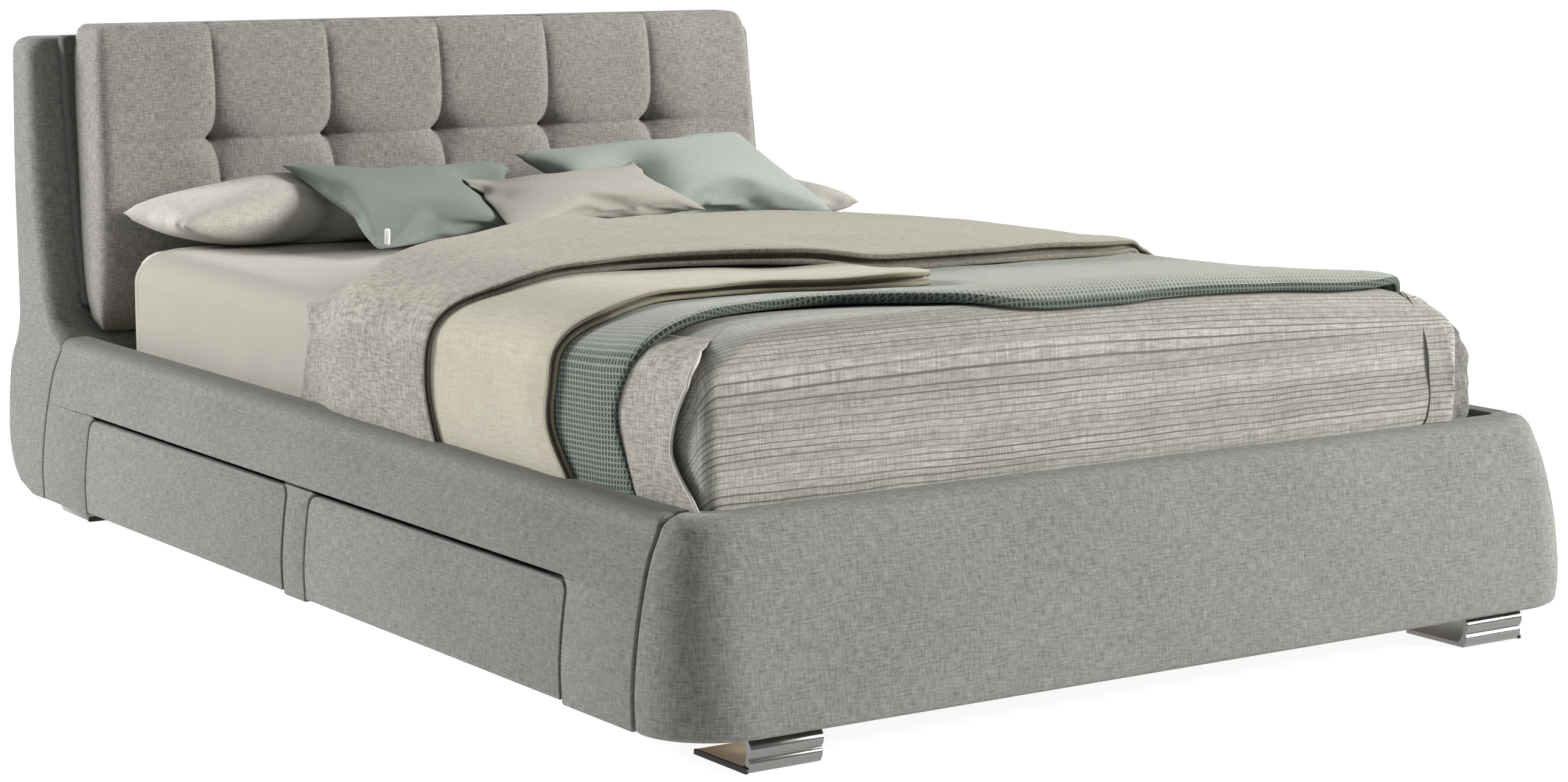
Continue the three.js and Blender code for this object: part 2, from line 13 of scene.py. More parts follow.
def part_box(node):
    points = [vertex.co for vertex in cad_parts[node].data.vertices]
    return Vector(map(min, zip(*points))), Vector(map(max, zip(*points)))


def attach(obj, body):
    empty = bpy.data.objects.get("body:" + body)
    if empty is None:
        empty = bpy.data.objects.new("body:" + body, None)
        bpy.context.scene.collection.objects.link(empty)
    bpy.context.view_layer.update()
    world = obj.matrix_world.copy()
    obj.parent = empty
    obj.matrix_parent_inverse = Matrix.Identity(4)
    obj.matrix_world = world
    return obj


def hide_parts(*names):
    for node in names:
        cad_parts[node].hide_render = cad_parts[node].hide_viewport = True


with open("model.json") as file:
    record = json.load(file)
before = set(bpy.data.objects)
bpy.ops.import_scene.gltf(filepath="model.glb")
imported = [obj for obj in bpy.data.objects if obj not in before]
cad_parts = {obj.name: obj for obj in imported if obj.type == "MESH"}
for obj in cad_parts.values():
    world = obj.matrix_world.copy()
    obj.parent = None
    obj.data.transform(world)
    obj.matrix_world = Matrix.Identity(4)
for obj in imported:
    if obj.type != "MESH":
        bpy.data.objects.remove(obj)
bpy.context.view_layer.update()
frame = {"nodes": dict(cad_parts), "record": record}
scene = bpy.context.scene

# --- measures shared by several pieces

ENDS = ("head", "foot")
BASE_BOTTOM, RAIL_TOP = (corner.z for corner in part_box("side_rail_left"))
FOOT_SEAM, HEAD_SEAM = (corner.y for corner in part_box("side_rail_left"))
FOOT_END, FOOT_REAR = (corner.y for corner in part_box("footboard"))
RAIL_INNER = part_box("side_rail_right")[0].x
SHELL_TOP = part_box("headboard_shell")[1].z
HEAD_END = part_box("headboard_shell")[1].y
PAD_LOW, PAD_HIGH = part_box("headboard_cushion")
MATTRESS_LOW, MATTRESS_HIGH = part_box("mattress")

join, evenly, clip = np.concatenate, np.linspace, np.clip


def smooth_curve(*knots):
    """A smooth function of arrays through (position, value) knots, level beyond its ends."""
    at, value = np.array(knots, float).T
    last = len(at) - 1
    low = np.maximum(np.arange(last + 1) - 1, 0)
    high = np.minimum(np.arange(last + 1) + 1, last)
    slope = (value[high] - value[low]) / (at[high] - at[low])

    def evaluate(x):
        x = clip(np.asarray(x, float), at[0], at[-1])
        i = clip(np.searchsorted(at, x, side="right") - 1, 0, last - 1)
        span = at[i + 1] - at[i]
        t = (x - at[i]) / span
        blend = value[i] + (value[i + 1] - value[i]) * t * t * (3 - 2 * t)
        return blend + span * (slope[i] * t * (1 - t) ** 2 + slope[i + 1] * t * t * (t - 1))

    return evaluate


def smooth_step(t):
    """From 0 to 1 without a kink at either end."""
    t = clip(t, 0, 1)
    return t * t * (3 - 2 * t)


def turns(start, stop, count):
    """Evenly spaced angles given in degrees, as radians."""
    return np.radians(evenly(start, stop, count))


def beside(*columns):
    """Columns as rows of coordinates. A single number fills its column."""
    count = max(len(c) for c in columns if np.ndim(c))
    return np.column_stack([c if np.ndim(c) else np.full(count, float(c)) for c in columns])


def travelled(points):
    """How far along a path each of its points lies."""
    return join([[0], np.cumsum(np.linalg.norm(np.diff(points, axis=0), axis=1))])


def rounded_top(z, radius, first, count):
    """The levels of a rounded upper edge as (z, inset), from first degrees up to level."""
    return [(z - radius + radius * math.sin(a), radius * (1 - math.cos(a))) for a in turns(first, 90, count)]


def ripple(a, b, seed, scale=1.0):
    """Smooth repeatable waves between about -1 and 1, as a function of two lengths in metres."""
    random = np.random.default_rng(seed)
    total = np.zeros(np.broadcast(a, b).shape)
    for octave in range(5):
        angle, phase = random.uniform(0, 2 * math.pi, 2)
        frequency = (6 + 5 * octave) / scale
        total += np.sin(frequency * (a * math.cos(angle) + b * math.sin(angle)) + phase) / (1 + 0.6 * octave)
    return total / 2.4


# half the bed's width at height z: the sides lean in as they rise
half_width = smooth_curve((BASE_BOTTOM, 0.858), (0.11, 0.86), (0.185, 0.8535), (0.24, 0.8445), (0.289, 0.833),
                          (0.33, 0.817), (0.38, 0.81), (0.62, 0.81), (0.78, 0.806), (SHELL_TOP, 0.802))

# --- mesh helpers


def read(items, key, width=1, kind=float):
    """One property of all of a mesh's items, as an array with width numbers for each."""
    values = np.empty(len(items) * width, kind)
    items.foreach_get(key, values)
    return values.reshape(-1, width) if width > 1 else values


def loop_points(mesh):
    return read(mesh.loops, "vertex_index", kind=np.int32)


def new_object(name, points, faces, uv=None):
    """A smooth-shaded mesh. uv has one pair for each point, in metres of cloth."""
    mesh = bpy.data.meshes.new(name)
    mesh.from_pydata(np.asarray(points, float).tolist(), [], [list(map(int, f)) for f in faces])
    if uv is not None:
        values = np.asarray(uv, np.float32)[loop_points(mesh)]
        mesh.uv_layers.new(name="cloth").data.foreach_set("uv", values.ravel())
    mesh.shade_smooth()
    obj = bpy.data.objects.new(name, mesh)
    scene.collection.objects.link(obj)
    return obj


def grid_faces(rows, columns, around=False):
    """Quads of a grid of points stored row by row. around joins the last column to the first."""
    i, j = np.meshgrid(np.arange(rows - 1), np.arange(columns if around else columns - 1), indexing="ij")
    a, b = (i * columns + j).ravel(), (i * columns + (j + 1) % columns).ravel()
    return np.stack([a, b, b + columns, a + columns], 1)


def apply_modifiers(obj):
    depsgraph = bpy.context.evaluated_depsgraph_get()
    mesh = bpy.data.meshes.new_from_object(obj.evaluated_get(depsgraph), depsgraph=depsgraph)
    obj.modifiers.clear()
    old, obj.data = obj.data, mesh
    bpy.data.meshes.remove(old)
    mesh.name = obj.name


def box_uv(obj):
    """Lays cloth coordinates on a finished mesh, in metres, seen along each face's nearest axis."""
    mesh = obj.data
    nearest = np.abs(read(mesh.polygons, "normal", 3)).argmax(1)
    axis = np.repeat(nearest, read(mesh.polygons, "loop_total", kind=np.int32))
    x, y, z = read(mesh.vertices, "co", 3)[loop_points(mesh)].T
    uv = np.stack([np.where(axis == 0, y, x), np.where(axis == 2, y, z)], 1)
    layer = mesh.uv_layers.get("cloth") or mesh.uv_layers.new(name="cloth")
    layer.data.foreach_set("uv", uv.astype(np.float32).ravel())


def even_normals(obj):
    """Shades a piece's large faces flat and its rounded edges smooth."""
    obj.modifiers.new("normals", "WEIGHTED_NORMAL")
    apply_modifiers(obj)
    obj.data.shade_smooth()


def soften(obj, width, angle=32):
    """Rounds a piece's sharp edges, as cloth pulled over a board does."""
    bevel = obj.modifiers.new("edges", "BEVEL")
    bevel.width, bevel.segments = width, 3
    bevel.limit_method, bevel.angle_limit = "ANGLE", math.radians(angle)
    even_normals(obj)


def carve(obj, tool, operation="DIFFERENCE"):
    """Cuts the tool out of a piece, or keeps only what is inside it, and removes the tool."""
    boolean = obj.modifiers.new("carve", "BOOLEAN")
    boolean.operation, boolean.solver, boolean.object = operation, "EXACT", tool
    bpy.context.view_layer.update()
    apply_modifiers(obj)
    bpy.data.objects.remove(tool)


def change_mesh(obj, work):
    """Runs work on the piece's mesh in Blender's editable form."""
    mesh = bmesh.new()
    mesh.from_mesh(obj.data)
    work(mesh)
    mesh.to_mesh(obj.data)
    mesh.free()


def fix_normals(obj):
    change_mesh(obj, lambda mesh: bmesh.ops.recalc_face_normals(mesh, faces=mesh.faces))


def outline(x0, x1, y0, y1, front, rear, front_depth=None, steps=10):
    """A level rectangle with rounded corners as (x, y) points, anticlockwise from its front right."""
    front_depth = front if front_depth is None else front_depth
    corners = ((x1 - front, y0 + front_depth, front, front_depth, -90), (x1 - rear, y1 - rear, rear, rear, 0),
               (x0 + rear, y1 - rear, rear, rear, 90),
               (x0 + front, y0 + front_depth, front, front_depth, 180))
    points = []
    for cx, cy, rx, ry, start in corners:
        angle = turns(start, start + 90, steps + 1)
        points.append(beside(cx + rx * np.cos(angle), cy + ry * np.sin(angle)))
    return join(points)


def loft(name, rings):
    """A closed solid through level rings [(points, z)], with flat lids."""
    count = len(rings[0][0])
    points = join([beside(ring, z) for ring, z in rings])
    lids = [range(count)[::-1], range(len(points) - count, len(points))]
    return new_object(name, points, [*grid_faces(len(rings), count, around=True), *lids])


def sweep(name, section, start, end, axis):
    """A closed (a, z) section swept from start to end, along Y with a = x, or along X with a = y."""
    a, z = np.array(section, float).T
    ends = [beside(a, at, z) if axis == "y" else beside(at, a, z) for at in (start, end)]
    count = len(a)
    lids = [range(count)[::-1], range(count, 2 * count)]
    obj = new_object(name, join(ends), [*grid_faces(2, count, around=True), *lids])
    fix_normals(obj)
    return obj


def mirrored(obj, name):
    copy = obj.copy()
    copy.data = obj.data.copy()
    copy.name = copy.data.name = name
    scene.collection.objects.link(copy)
    copy.data.transform(Matrix.Scale(-1, 4, (1, 0, 0)))
    copy.data.flip_normals()
    return copy


def settle(obj, body, material, nodes=()):
    """Gives a finished piece its body, material, material slot and the CAD nodes that it stands for."""
    obj.data.materials.clear()
    obj.data.materials.append(material)
    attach(obj, body)
    if nodes:
        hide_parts(*nodes)


# --- materials

CLOTH_SHARE = 0.55  # how much a cloth reflects, over how bright it shows in this light


def rgb(red, green, blue, share=1.0):
    """A colour given as it shows on a screen, 0 to 255, as Blender's linear values."""
    return tuple(share * ((v / 255 + 0.055) / 1.055) ** 2.4 for v in (red, green, blue)) + (1,)


def shade(colour, share):
    return (*(share * c for c in colour[:3]), 1)


class Nodes:
    """Short calls for building one material's node tree."""

    def __init__(self, name):
        self.material = bpy.data.materials.new(name)
        self.material.use_nodes = True
        self.tree = self.material.node_tree
        self.shader = self.tree.nodes["Principled BSDF"]

    def add(self, kind, **settings):
        node = self.tree.nodes.new(kind)
        for key, value in settings.items():
            setattr(node, key, value)
        return node

    def link(self, source, target):
        self.tree.links.new(source, target)

    def put(self, target, value):
        if isinstance(value, bpy.types.NodeSocket):
            self.link(value, target)
        else:
            target.default_value = value

    def fill(self, kind, inputs, **settings):
        """A node with its inputs filled by name or number, as its first output."""
        node = self.add(kind, **settings)
        for key, value in inputs.items():
            self.put(node.inputs[key], value)
        return node.outputs[0]

    def place(self):
        return self.add("ShaderNodeTexCoord").outputs["Object"]

    def split(self, vector):
        return self.fill("ShaderNodeSeparateXYZ", {0: vector}).node.outputs

    def math(self, operation, a, b=0.0, clamp=False):
        return self.fill("ShaderNodeMath", {0: a, 1: b}, operation=operation, use_clamp=clamp)

    def times(self, a, b, clamp=False):
        return self.math("MULTIPLY", a, b, clamp)

    def scaled(self, vector, x, y, z=1.0):
        return self.fill("ShaderNodeMapping", {"Vector": vector, "Scale": (x, y, z)})

    def noise(self, vector, scale=1.0, detail=2.0, roughness=0.5):
        return self.fill("ShaderNodeTexNoise", {"Vector": vector, "Scale": scale, "Detail": detail,
                                                "Roughness": roughness})

    def spread(self, value, low, high, to_low=0.0, to_high=1.0):
        return self.fill("ShaderNodeMapRange", {"Value": value, "From Min": low, "From Max": high,
                                                "To Min": to_low, "To Max": to_high})

    def mix(self, factor, a, b):
        node = self.add("ShaderNodeMix", data_type="RGBA")
        for key, value in (("Factor", factor), ("A", a), ("B", b)):
            self.put(node.inputs[key], value)
        return node.outputs["Result"]

    def bump(self, height, distance, strength=1.0, normal=None):
        inputs = {"Distance": distance, "Strength": strength, "Height": height}
        if normal is not None:
            inputs["Normal"] = normal
        return self.fill("ShaderNodeBump", inputs)

    def finish(self, colour, roughness, normal=None, metallic=0.0, sheen=0.0, specular=0.3):
        inputs = {"Base Color": colour, "Roughness": roughness, "Metallic": metallic,
                  "Specular IOR Level": specular}
        if sheen:
            inputs |= {"Sheen Weight": sheen, "Sheen Roughness": 0.5}
        if normal is not None:
            inputs["Normal"] = normal
        for key, value in inputs.items():
            self.put(self.shader.inputs[key], value)
        return self.material


def woven(name, dark, light, slub=(0.0016, 0.012), contrast=1.0, bump=0.0006, sheen=0.15, stripes=None,
          waffle=None, top_shading=None, share=CLOTH_SHARE):
    """Cloth of crossed threads on the piece's cloth coordinates. slub is a streak's width and length in
    metres. stripes is (colour, pitch) of fine lines across the second coordinate. waffle is the pitch of
    raised cells and the colour of their hollows, painted shade. The top colour is the colour that the cloth
    turns to where it faces up: painted light where it is lighter, painted shade where it is darker."""
    n = Nodes(name)
    dark, light = rgb(*dark, share), rgb(*light, share)
    uv = n.add("ShaderNodeUVMap", uv_map="cloth").outputs[0]
    width, length = slub
    up = n.noise(n.scaled(uv, 1 / width, 1 / length), detail=3, roughness=0.7)
    across = n.noise(n.scaled(uv, 1 / length, 1 / width), detail=3, roughness=0.7)
    streaks = n.times(n.math("ADD", up, across), 0.5)
    tone = n.spread(streaks, 0.5 - 0.17 / contrast, 0.5 + 0.17 / contrast)
    clouds = n.spread(n.noise(uv, scale=5, detail=2), 0.35, 0.65, -0.05, 0.05)
    tone = n.math("ADD", tone, clouds, clamp=True)
    colour = n.mix(tone, dark, light)
    thread = 0.0011
    warp, weft = (n.fill("ShaderNodeTexWave", {"Vector": uv, "Scale": 0.314 / thread, "Distortion": 1.5,
                                               "Detail": 1.0}, wave_type="BANDS", bands_direction=direction)
                  for direction in "XY")
    threads = n.times(warp.node.outputs[1], weft.node.outputs[1])
    normal = n.bump(n.math("ADD", threads, n.times(streaks, 1.6)), bump)
    if stripes:
        line_colour, pitch = rgb(*stripes[0], share), stripes[1]
        wobble = n.times(n.noise(n.scaled(uv, 1.5, 20.0), detail=1), pitch * 1.2)
        distance = n.math("PINGPONG", n.math("ADD", n.split(uv)[1], wobble), pitch / 2)
        line = n.spread(distance, pitch * 0.15, pitch * 0.15 * 0.35)
        strength = n.spread(n.noise(n.scaled(uv, 1.2, 34.0), detail=2), 0.38, 0.6, 0.38, 1.0)
        colour = n.mix(n.times(line, strength, clamp=True), colour, line_colour)
        bands = n.spread(n.noise(n.scaled(uv, 0.5, 26.0), detail=3), 0.42, 0.66, 0.0, 0.34)
        colour = n.mix(bands, colour, line_colour)
    if waffle:
        pitch, hollow = waffle
        ridges = [n.spread(n.math("PINGPONG", n.split(uv)[k], pitch / 2), 0, pitch / 2) for k in (0, 1)]
        raised = n.spread(n.math("MAXIMUM", *ridges), 0.45, 0.85)
        # Painted shade: the waffle's hollows are darkened towards the hollow colour.
        colour = n.mix(n.times(n.math("SUBTRACT", 1.0, raised), 0.85), colour, rgb(*hollow, share))
        normal = n.bump(raised, 0.0016, normal=normal)
    # Painted light and shade: where the cloth faces up, its colour moves to the top colour. It is lighter on
    # lit tops and darker on the rail's top.
    if top_shading:
        top_shading = rgb(*top_shading, share)
        level = n.split(n.add("ShaderNodeNewGeometry").outputs["Normal"])[2]
        top_shading_colour = n.mix(tone, shade(top_shading, 0.84), shade(top_shading, 1.16))
        colour = n.mix(n.spread(level, 0.45, 0.97, 0.0, 0.75), colour, top_shading_colour)
    return n.finish(colour, 0.92, normal, sheen=sheen, specular=0.15)


def metal(name, colour, roughness, brushed=False):
    n = Nodes(name)
    place = n.scaled(n.place(), 900, 12, 900) if brushed else n.place()
    smudge = n.noise(place, scale=1 if brushed else 9, detail=3)
    rough = n.spread(smudge, 0.3, 0.7, roughness * 0.6, roughness * 1.5)
    return n.finish(colour, rough, n.bump(smudge, 0.0001, 0.3), metallic=1.0, specular=0.5)


def wood(name, dark, light, grain=(1.0, 14.0, 14.0)):
    n = Nodes(name)
    place = n.place()
    rings = n.noise(n.scaled(place, *grain), scale=3, detail=5, roughness=0.6)
    pores = n.noise(n.scaled(place, *(30 * g for g in grain)), detail=2)
    tone = n.math("ADD", n.times(rings, 0.8), n.times(pores, 0.2))
    colour = n.mix(n.spread(tone, 0.35, 0.65), dark, light)
    return n.finish(colour, 0.6, n.bump(pores, 0.0002, 0.4), specular=0.3)


def plain(name, colour, roughness):
    n = Nodes(name)
    speck = n.noise(n.place(), scale=400, detail=2)
    tone = n.mix(n.spread(speck, 0.3, 0.7), shade(colour, 0.85), colour)
    rough = n.spread(speck, 0.3, 0.7, roughness * 0.85, roughness * 1.15)
    return n.finish(tone, rough, n.bump(speck, 0.0001, 0.5))


COARSE = {"slub": (0.003, 0.02), "contrast": 1.15}
SMOOTH = {"slub": (0.002, 0.012), "bump": 0.0002}
upholstery = woven("upholstery", (112, 112, 107), (175, 175, 169), **COARSE)
# A copy of the upholstery whose top is painted darker: painted shade on the rail's top.
rail_cloth = woven("upholstery_rail", (112, 112, 107), (173, 172, 166), **COARSE, top_shading=(112, 109, 101))
# A lighter copy of the upholstery's colours: painted light on the headboard's pad.
pad_lit_cloth = woven("upholstery_pad_lit", (124, 121, 115), (196, 192, 184), slub=(0.0024, 0.018), contrast=1.3)
# A darker copy of the upholstery's colours: painted shade on the board in the recess behind the pad.
board_shade_cloth = woven("upholstery_board_shaded", (78, 78, 74), (124, 124, 119), **COARSE)
sheet_cloth = woven("sheet_cotton", (170, 166, 153), (186, 181, 168), **SMOOTH)
quilt_cloth = woven("quilt_weave", (146, 145, 134), (220, 219, 210), slub=(0.0024, 0.03), contrast=1.3,
                    bump=0.0005, stripes=((112, 108, 96), 0.0098))
flap_cloth = woven("quilt_flap_weave", (140, 137, 124), (222, 219, 208), slub=(0.0034, 0.026), contrast=1.4)
# A darker quilt weave. It is painted shade on the crumpled corner drop. On the foot seam's cord it is part
# the seam's colour and part painted shade.
seam_and_shade_cloth = woven("quilt_seam_and_shade_weave", (84, 84, 79), (168, 166, 158), slub=(0.0026, 0.018),
                      contrast=1.3)
hem_cloth = woven("quilt_hem_weave", (196, 193, 184), (226, 223, 214), slub=(0.001, 0.004), bump=0.0003)
# Its top is painted lighter where it faces up: painted light.
coverlet_cloth = woven("beige_weave", (148, 144, 129), (222, 219, 204), slub=(0.004, 0.026), contrast=1.6,
                       bump=0.001, top_shading=(216, 211, 194))
# A darker copy of the coverlet's weave: painted shade on its folded edge.
coverlet_fold_shade = woven("beige_weave_fold_shade", (104, 98, 82), (164, 158, 141), slub=(0.0028, 0.03), contrast=1.4,
                      bump=0.0008)
cream_cloth = woven("cream_cotton", (183, 176, 156), (214, 208, 189), slub=(0.003, 0.04), bump=0.0003)
# A darker copy of the cream cloth: painted shade on its folded edge.
cream_fold_shade = woven("cream_cotton_fold_shade", (130, 124, 101), (168, 161, 138), slub=(0.002, 0.02), bump=0.0004)
# Its top is painted lighter where it faces up, as painted light. Its waffle hollows carry painted shade.
teal_cloth = woven("teal_waffle", (124, 136, 126), (166, 176, 166), bump=0.0003,
                   waffle=(0.0078, (34, 44, 38)), top_shading=(202, 205, 193))
# A darker copy of the teal waffle: painted shade on its folded edge.
teal_fold_shade = woven("teal_waffle_fold_shade", (84, 96, 88), (120, 131, 121), bump=0.0003,
                  waffle=(0.0078, (36, 46, 40)))
# Lit and shaded copies of one sage cloth. The left cushion's is darker, painted shade. The right cushion's is
# lighter and lighter again on top, painted light.
sage_shaded_cloth = woven("sage_cotton", (122, 132, 124), (146, 156, 147), **SMOOTH)
sage_lit_cloth = woven("sage_cotton_lit", (150, 160, 152), (172, 181, 173), **SMOOTH, top_shading=(196, 203, 195))
pillow_cloth = woven("pillow_weave", (204, 200, 186), (246, 243, 232), slub=(0.0022, 0.02), contrast=1.3,
                     bump=0.0005)
cushion_cloth = woven("cushion_weave", (182, 178, 164), (214, 211, 199), slub=(0.0022, 0.016), bump=0.0003)
ticking = woven("ticking", (216, 212, 202), (232, 228, 219), slub=(0.001, 0.004), bump=0.0003)
lining = woven("lining", (36, 36, 35), (60, 60, 58), slub=(0.001, 0.003), bump=0.0002, sheen=0.0, share=1.0)
chrome = metal("chrome", rgb(128, 128, 126), 0.17)
# A brighter, rougher steel for the feet's up-facing lower arms: a painted reflection of the light above.
bright_steel = metal("bright_steel", rgb(238, 238, 236), 0.42)
zinc_steel = metal("zinc_steel", rgb(178, 181, 184), 0.32, brushed=True)
timber = wood("timber", rgb(182, 146, 98), rgb(216, 186, 140))
board = wood("board", rgb(206, 202, 194), rgb(226, 223, 216), grain=(14.0, 1.0, 14.0))
painted_steel = plain("painted_steel", rgb(48, 48, 48), 0.45)
black_plastic = plain("black_plastic", rgb(24, 24, 24), 0.5)
zip_metal = plain("zip_metal", rgb(236, 236, 232), 0.3)

# --- upholstered base

OPENING_TOP = 0.229  # the drawers' openings
OPENING_CORNER = 0.022
RAIL_ROUND = 0.024
DRAWER_GAP = 0.0045
FRONT_MARGIN = 0.005  # from a CAD drawer front to the edge of its opening
EDGE_ROUND = 0.007


def rail_section(inner, z0, z1, rounding):
    """The right rail's section in (x, z): battered outside, rounded over at the top."""
    z = evenly(z0, z1 - rounding, 24)
    points = [(inner, z0), *beside(half_width(z), z)]
    if rounding:
        angle = turns(0, 90, 13)[1:]
        edge = float(half_width(z1 - rounding))
        points += [*beside(edge - rounding * (1 - np.cos(angle)), z1 - rounding + rounding * np.sin(angle))]
    return [*points, (inner, z1)]


def drawer_tool(low, high, margin, z0, z1, radius):
    """A block through the rail in a drawer's shape, margin larger at its ends, rounded at its top corners."""
    y0, y1 = low.y - margin, high.y + margin
    angle = turns(0, 90, 9)
    right = beside(y1 - radius + radius * np.cos(angle), z1 - radius + radius * np.sin(angle))
    left = beside(y0 + radius - radius * np.sin(angle), z1 - radius + radius * np.cos(angle))
    return sweep("tool", [(y0, z0), (y1, z0), *right, *left], 0.7, 0.9, "x")


rail = sweep("rail_right", rail_section(RAIL_INNER, BASE_BOTTOM, RAIL_TOP, RAIL_ROUND), FOOT_SEAM, HEAD_SEAM,
             "y")
for end in ENDS:
    carve(rail, drawer_tool(*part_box(f"drawer_right_{end}_front"), FRONT_MARGIN, 0, OPENING_TOP,
                            OPENING_CORNER))
soften(rail, EDGE_ROUND)
box_uv(rail)
settle(mirrored(rail, "rail_left"), "base", rail_cloth, ["side_rail_left"])
settle(rail, "base", rail_cloth, ["side_rail_right"])

for end in ENDS:
    low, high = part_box(f"drawer_right_{end}_front")
    front = sweep(f"drawer_front_right_{end}", rail_section(low.x, low.z, OPENING_TOP, 0), low.y - 0.02,
                  high.y + 0.02, "y")
    tool = drawer_tool(low, high, FRONT_MARGIN - DRAWER_GAP, low.z - 0.02, OPENING_TOP - DRAWER_GAP,
                       OPENING_CORNER - DRAWER_GAP + 0.002)
    carve(front, tool, "INTERSECT")
    soften(front, EDGE_ROUND)
    box_uv(front)
    for side, obj in (("left", mirrored(front, f"drawer_front_left_{end}")), ("right", front)):
        settle(obj, f"drawer_{side}_{end}", upholstery, [f"drawer_{side}_{end}_front"])


def make_footboard():
    face = smooth_curve((BASE_BOTTOM, FOOT_END + 0.003), (0.07, FOOT_END), (0.117, FOOT_END + 0.004),
                        (0.229, FOOT_END + 0.024), (RAIL_TOP, FOOT_END + 0.062))
    rounding = smooth_curve((BASE_BOTTOM, 0.12), (RAIL_TOP, 0.076))
    inner = FOOT_REAR - 0.009
    under = 0.008  # the rounding of the lower edge
    low = [(BASE_BOTTOM + under - under * math.sin(a), under * (1 - math.cos(a)))
           for a in np.radians([90, 65, 40, 20])]
    levels = [(z, 0.0) for z in evenly(BASE_BOTTOM + under, RAIL_TOP - RAIL_ROUND, 20)]
    steps = 14
    front_half = 2 * (steps + 1)  # the outline's points before its rear corner on the left
    rings = []
    for z, inset in [*low, *levels, *rounded_top(RAIL_TOP, RAIL_ROUND, 8, 10)]:
        y0 = float(face(z)) + inset
        x = float(half_width(z)) - inset
        back = FOOT_REAR - min(inset, 0.012) * 0.6
        corner = float(rounding(z))
        shape = outline(-x, x, y0, back, corner, 0.01, min(corner, back - y0 - 0.012), steps=steps)
        notch = [(RAIL_INNER, back), (RAIL_INNER, inner), (-RAIL_INNER, inner), (-RAIL_INNER, back)]
        rings.append((join([shape[:front_half], notch, shape[front_half:]]), z))
    obj = loft("footboard_cover", rings)
    even_normals(obj)
    box_uv(obj)
    settle(obj, "base", upholstery, ["footboard"])


make_footboard()

# --- headboard

PAD_BOARD = 0.026  # how far the board behind the pad stands in front of the shell
BOARD_LOW = 0.392
SLOPE_TOP = 0.86  # the pad's rear is upright above this
TUFT_X = (-0.488, -0.248, -0.007, 0.234, 0.475)
TUFT_Z = (0.699, 0.494)

shell_front = smooth_curve((BASE_BOTTOM, 0.958), (0.318, 0.958), (0.33, 0.958), (0.372, 1.015),
                           (0.484, 1.048), (0.721, 1.086), (SHELL_TOP, 1.104))
shell_rear = smooth_curve((BASE_BOTTOM, 1.08), (0.064, 1.126), (0.117, 1.17), (0.185, 1.192), (0.36, 1.204),
                          (0.623, 1.204), (SHELL_TOP, HEAD_END))


def make_shell():
    rear_radius = smooth_curve((BASE_BOTTOM, 0.08), (0.185, 0.08), (RAIL_TOP, 0.045), (SHELL_TOP, 0.034))
    front_radius = smooth_curve((0.0, 0.007), (0.33, 0.007), (0.352, 0.028), (SHELL_TOP, 0.028))
    top = 0.028
    upright = join([evenly(BASE_BOTTOM, 0.318, 16), evenly(0.324, 0.376, 12),
                    evenly(0.39, SHELL_TOP - top, 24)])
    rings = []
    for z, inset in [*((z, 0.0) for z in upright), *rounded_top(SHELL_TOP, top, 9, 9)]:
        x = float(half_width(z)) - inset
        rings.append((outline(-x, x, float(shell_front(z)) + inset, float(shell_rear(z)) - inset,
                              max(float(front_radius(z)) - inset / 2, 0.004),
                              float(rear_radius(z)) - inset / 2), z))
    obj = loft("headboard_cover", rings)
    side, wall = 0.745, 0.03
    hollow = [(outline(-side, side, float(shell_front(z)) + wall, HEAD_END + 0.02, 0.002, 0.002), z)
              for z in (0.15, 0.33, 0.345, 0.358, 0.372, 0.484, 0.6, 0.721, 0.85)]
    carve(obj, loft("tool", hollow))
    soften(obj, 0.006, angle=50)
    box_uv(obj)
    settle(obj, "base", upholstery, ["headboard_shell"])


def make_pad_board():
    half, top = 0.748, 0.886
    levels = [*((z, 0.0) for z in evenly(BOARD_LOW, top, 24)), (top + 0.003, 0.002), (top + 0.006, 0.006)]
    rings = []
    for z, inset in levels:
        front = float(shell_front(z)) - PAD_BOARD + 0.001 + inset
        rear = float(shell_front(min(z, SLOPE_TOP))) - 0.0006 + max(z - SLOPE_TOP, 0) * 0.1
        rings.append((outline(-half + inset, half - inset, front, rear, 0.008, 0.004, steps=5), z))
    obj = loft("pad_board_cover", rings)
    even_normals(obj)
    box_uv(obj)
    settle(obj, "base", board_shade_cloth, ["headboard_pad_board"])


def fold(distance, width):
    """1 on a crease, fading to 0 over about width, with a narrow rounded bottom."""
    bottom = 0.0012
    return np.exp(-(np.sqrt(distance * distance + bottom**2) - bottom) / width)


def pad_creases(x, z):
    """How far the pad's face is drawn back at (x, z), in metres."""
    across = np.min([np.abs(x - t) for t in TUFT_X], axis=0)
    upright = np.min([np.abs(z - t) for t in TUFT_Z], axis=0)
    near_row = np.exp(-upright / 0.04)
    inside = clip((0.6 - np.abs(x)) / 0.06, 0, 1)
    edge = clip((PAD_HIGH.z - z) / 0.04, 0.35, 1)
    seam = (0.008 * edge + 0.017 * near_row) * fold(across, 0.0055 + 0.024 * near_row) * inside
    row = 0.0035 * fold(upright, 0.012) + 0.0065 * fold(upright, 0.0045) * fold(across, 0.075)
    tuft = 0.03 * fold(np.sqrt((across / 1.15) ** 2 + upright**2), 0.022) * inside
    puff = 0.005 * (1 - fold(across, 0.028)) * (1 - 0.6 * fold(upright, 0.045)) * inside
    return seam + row + tuft - puff


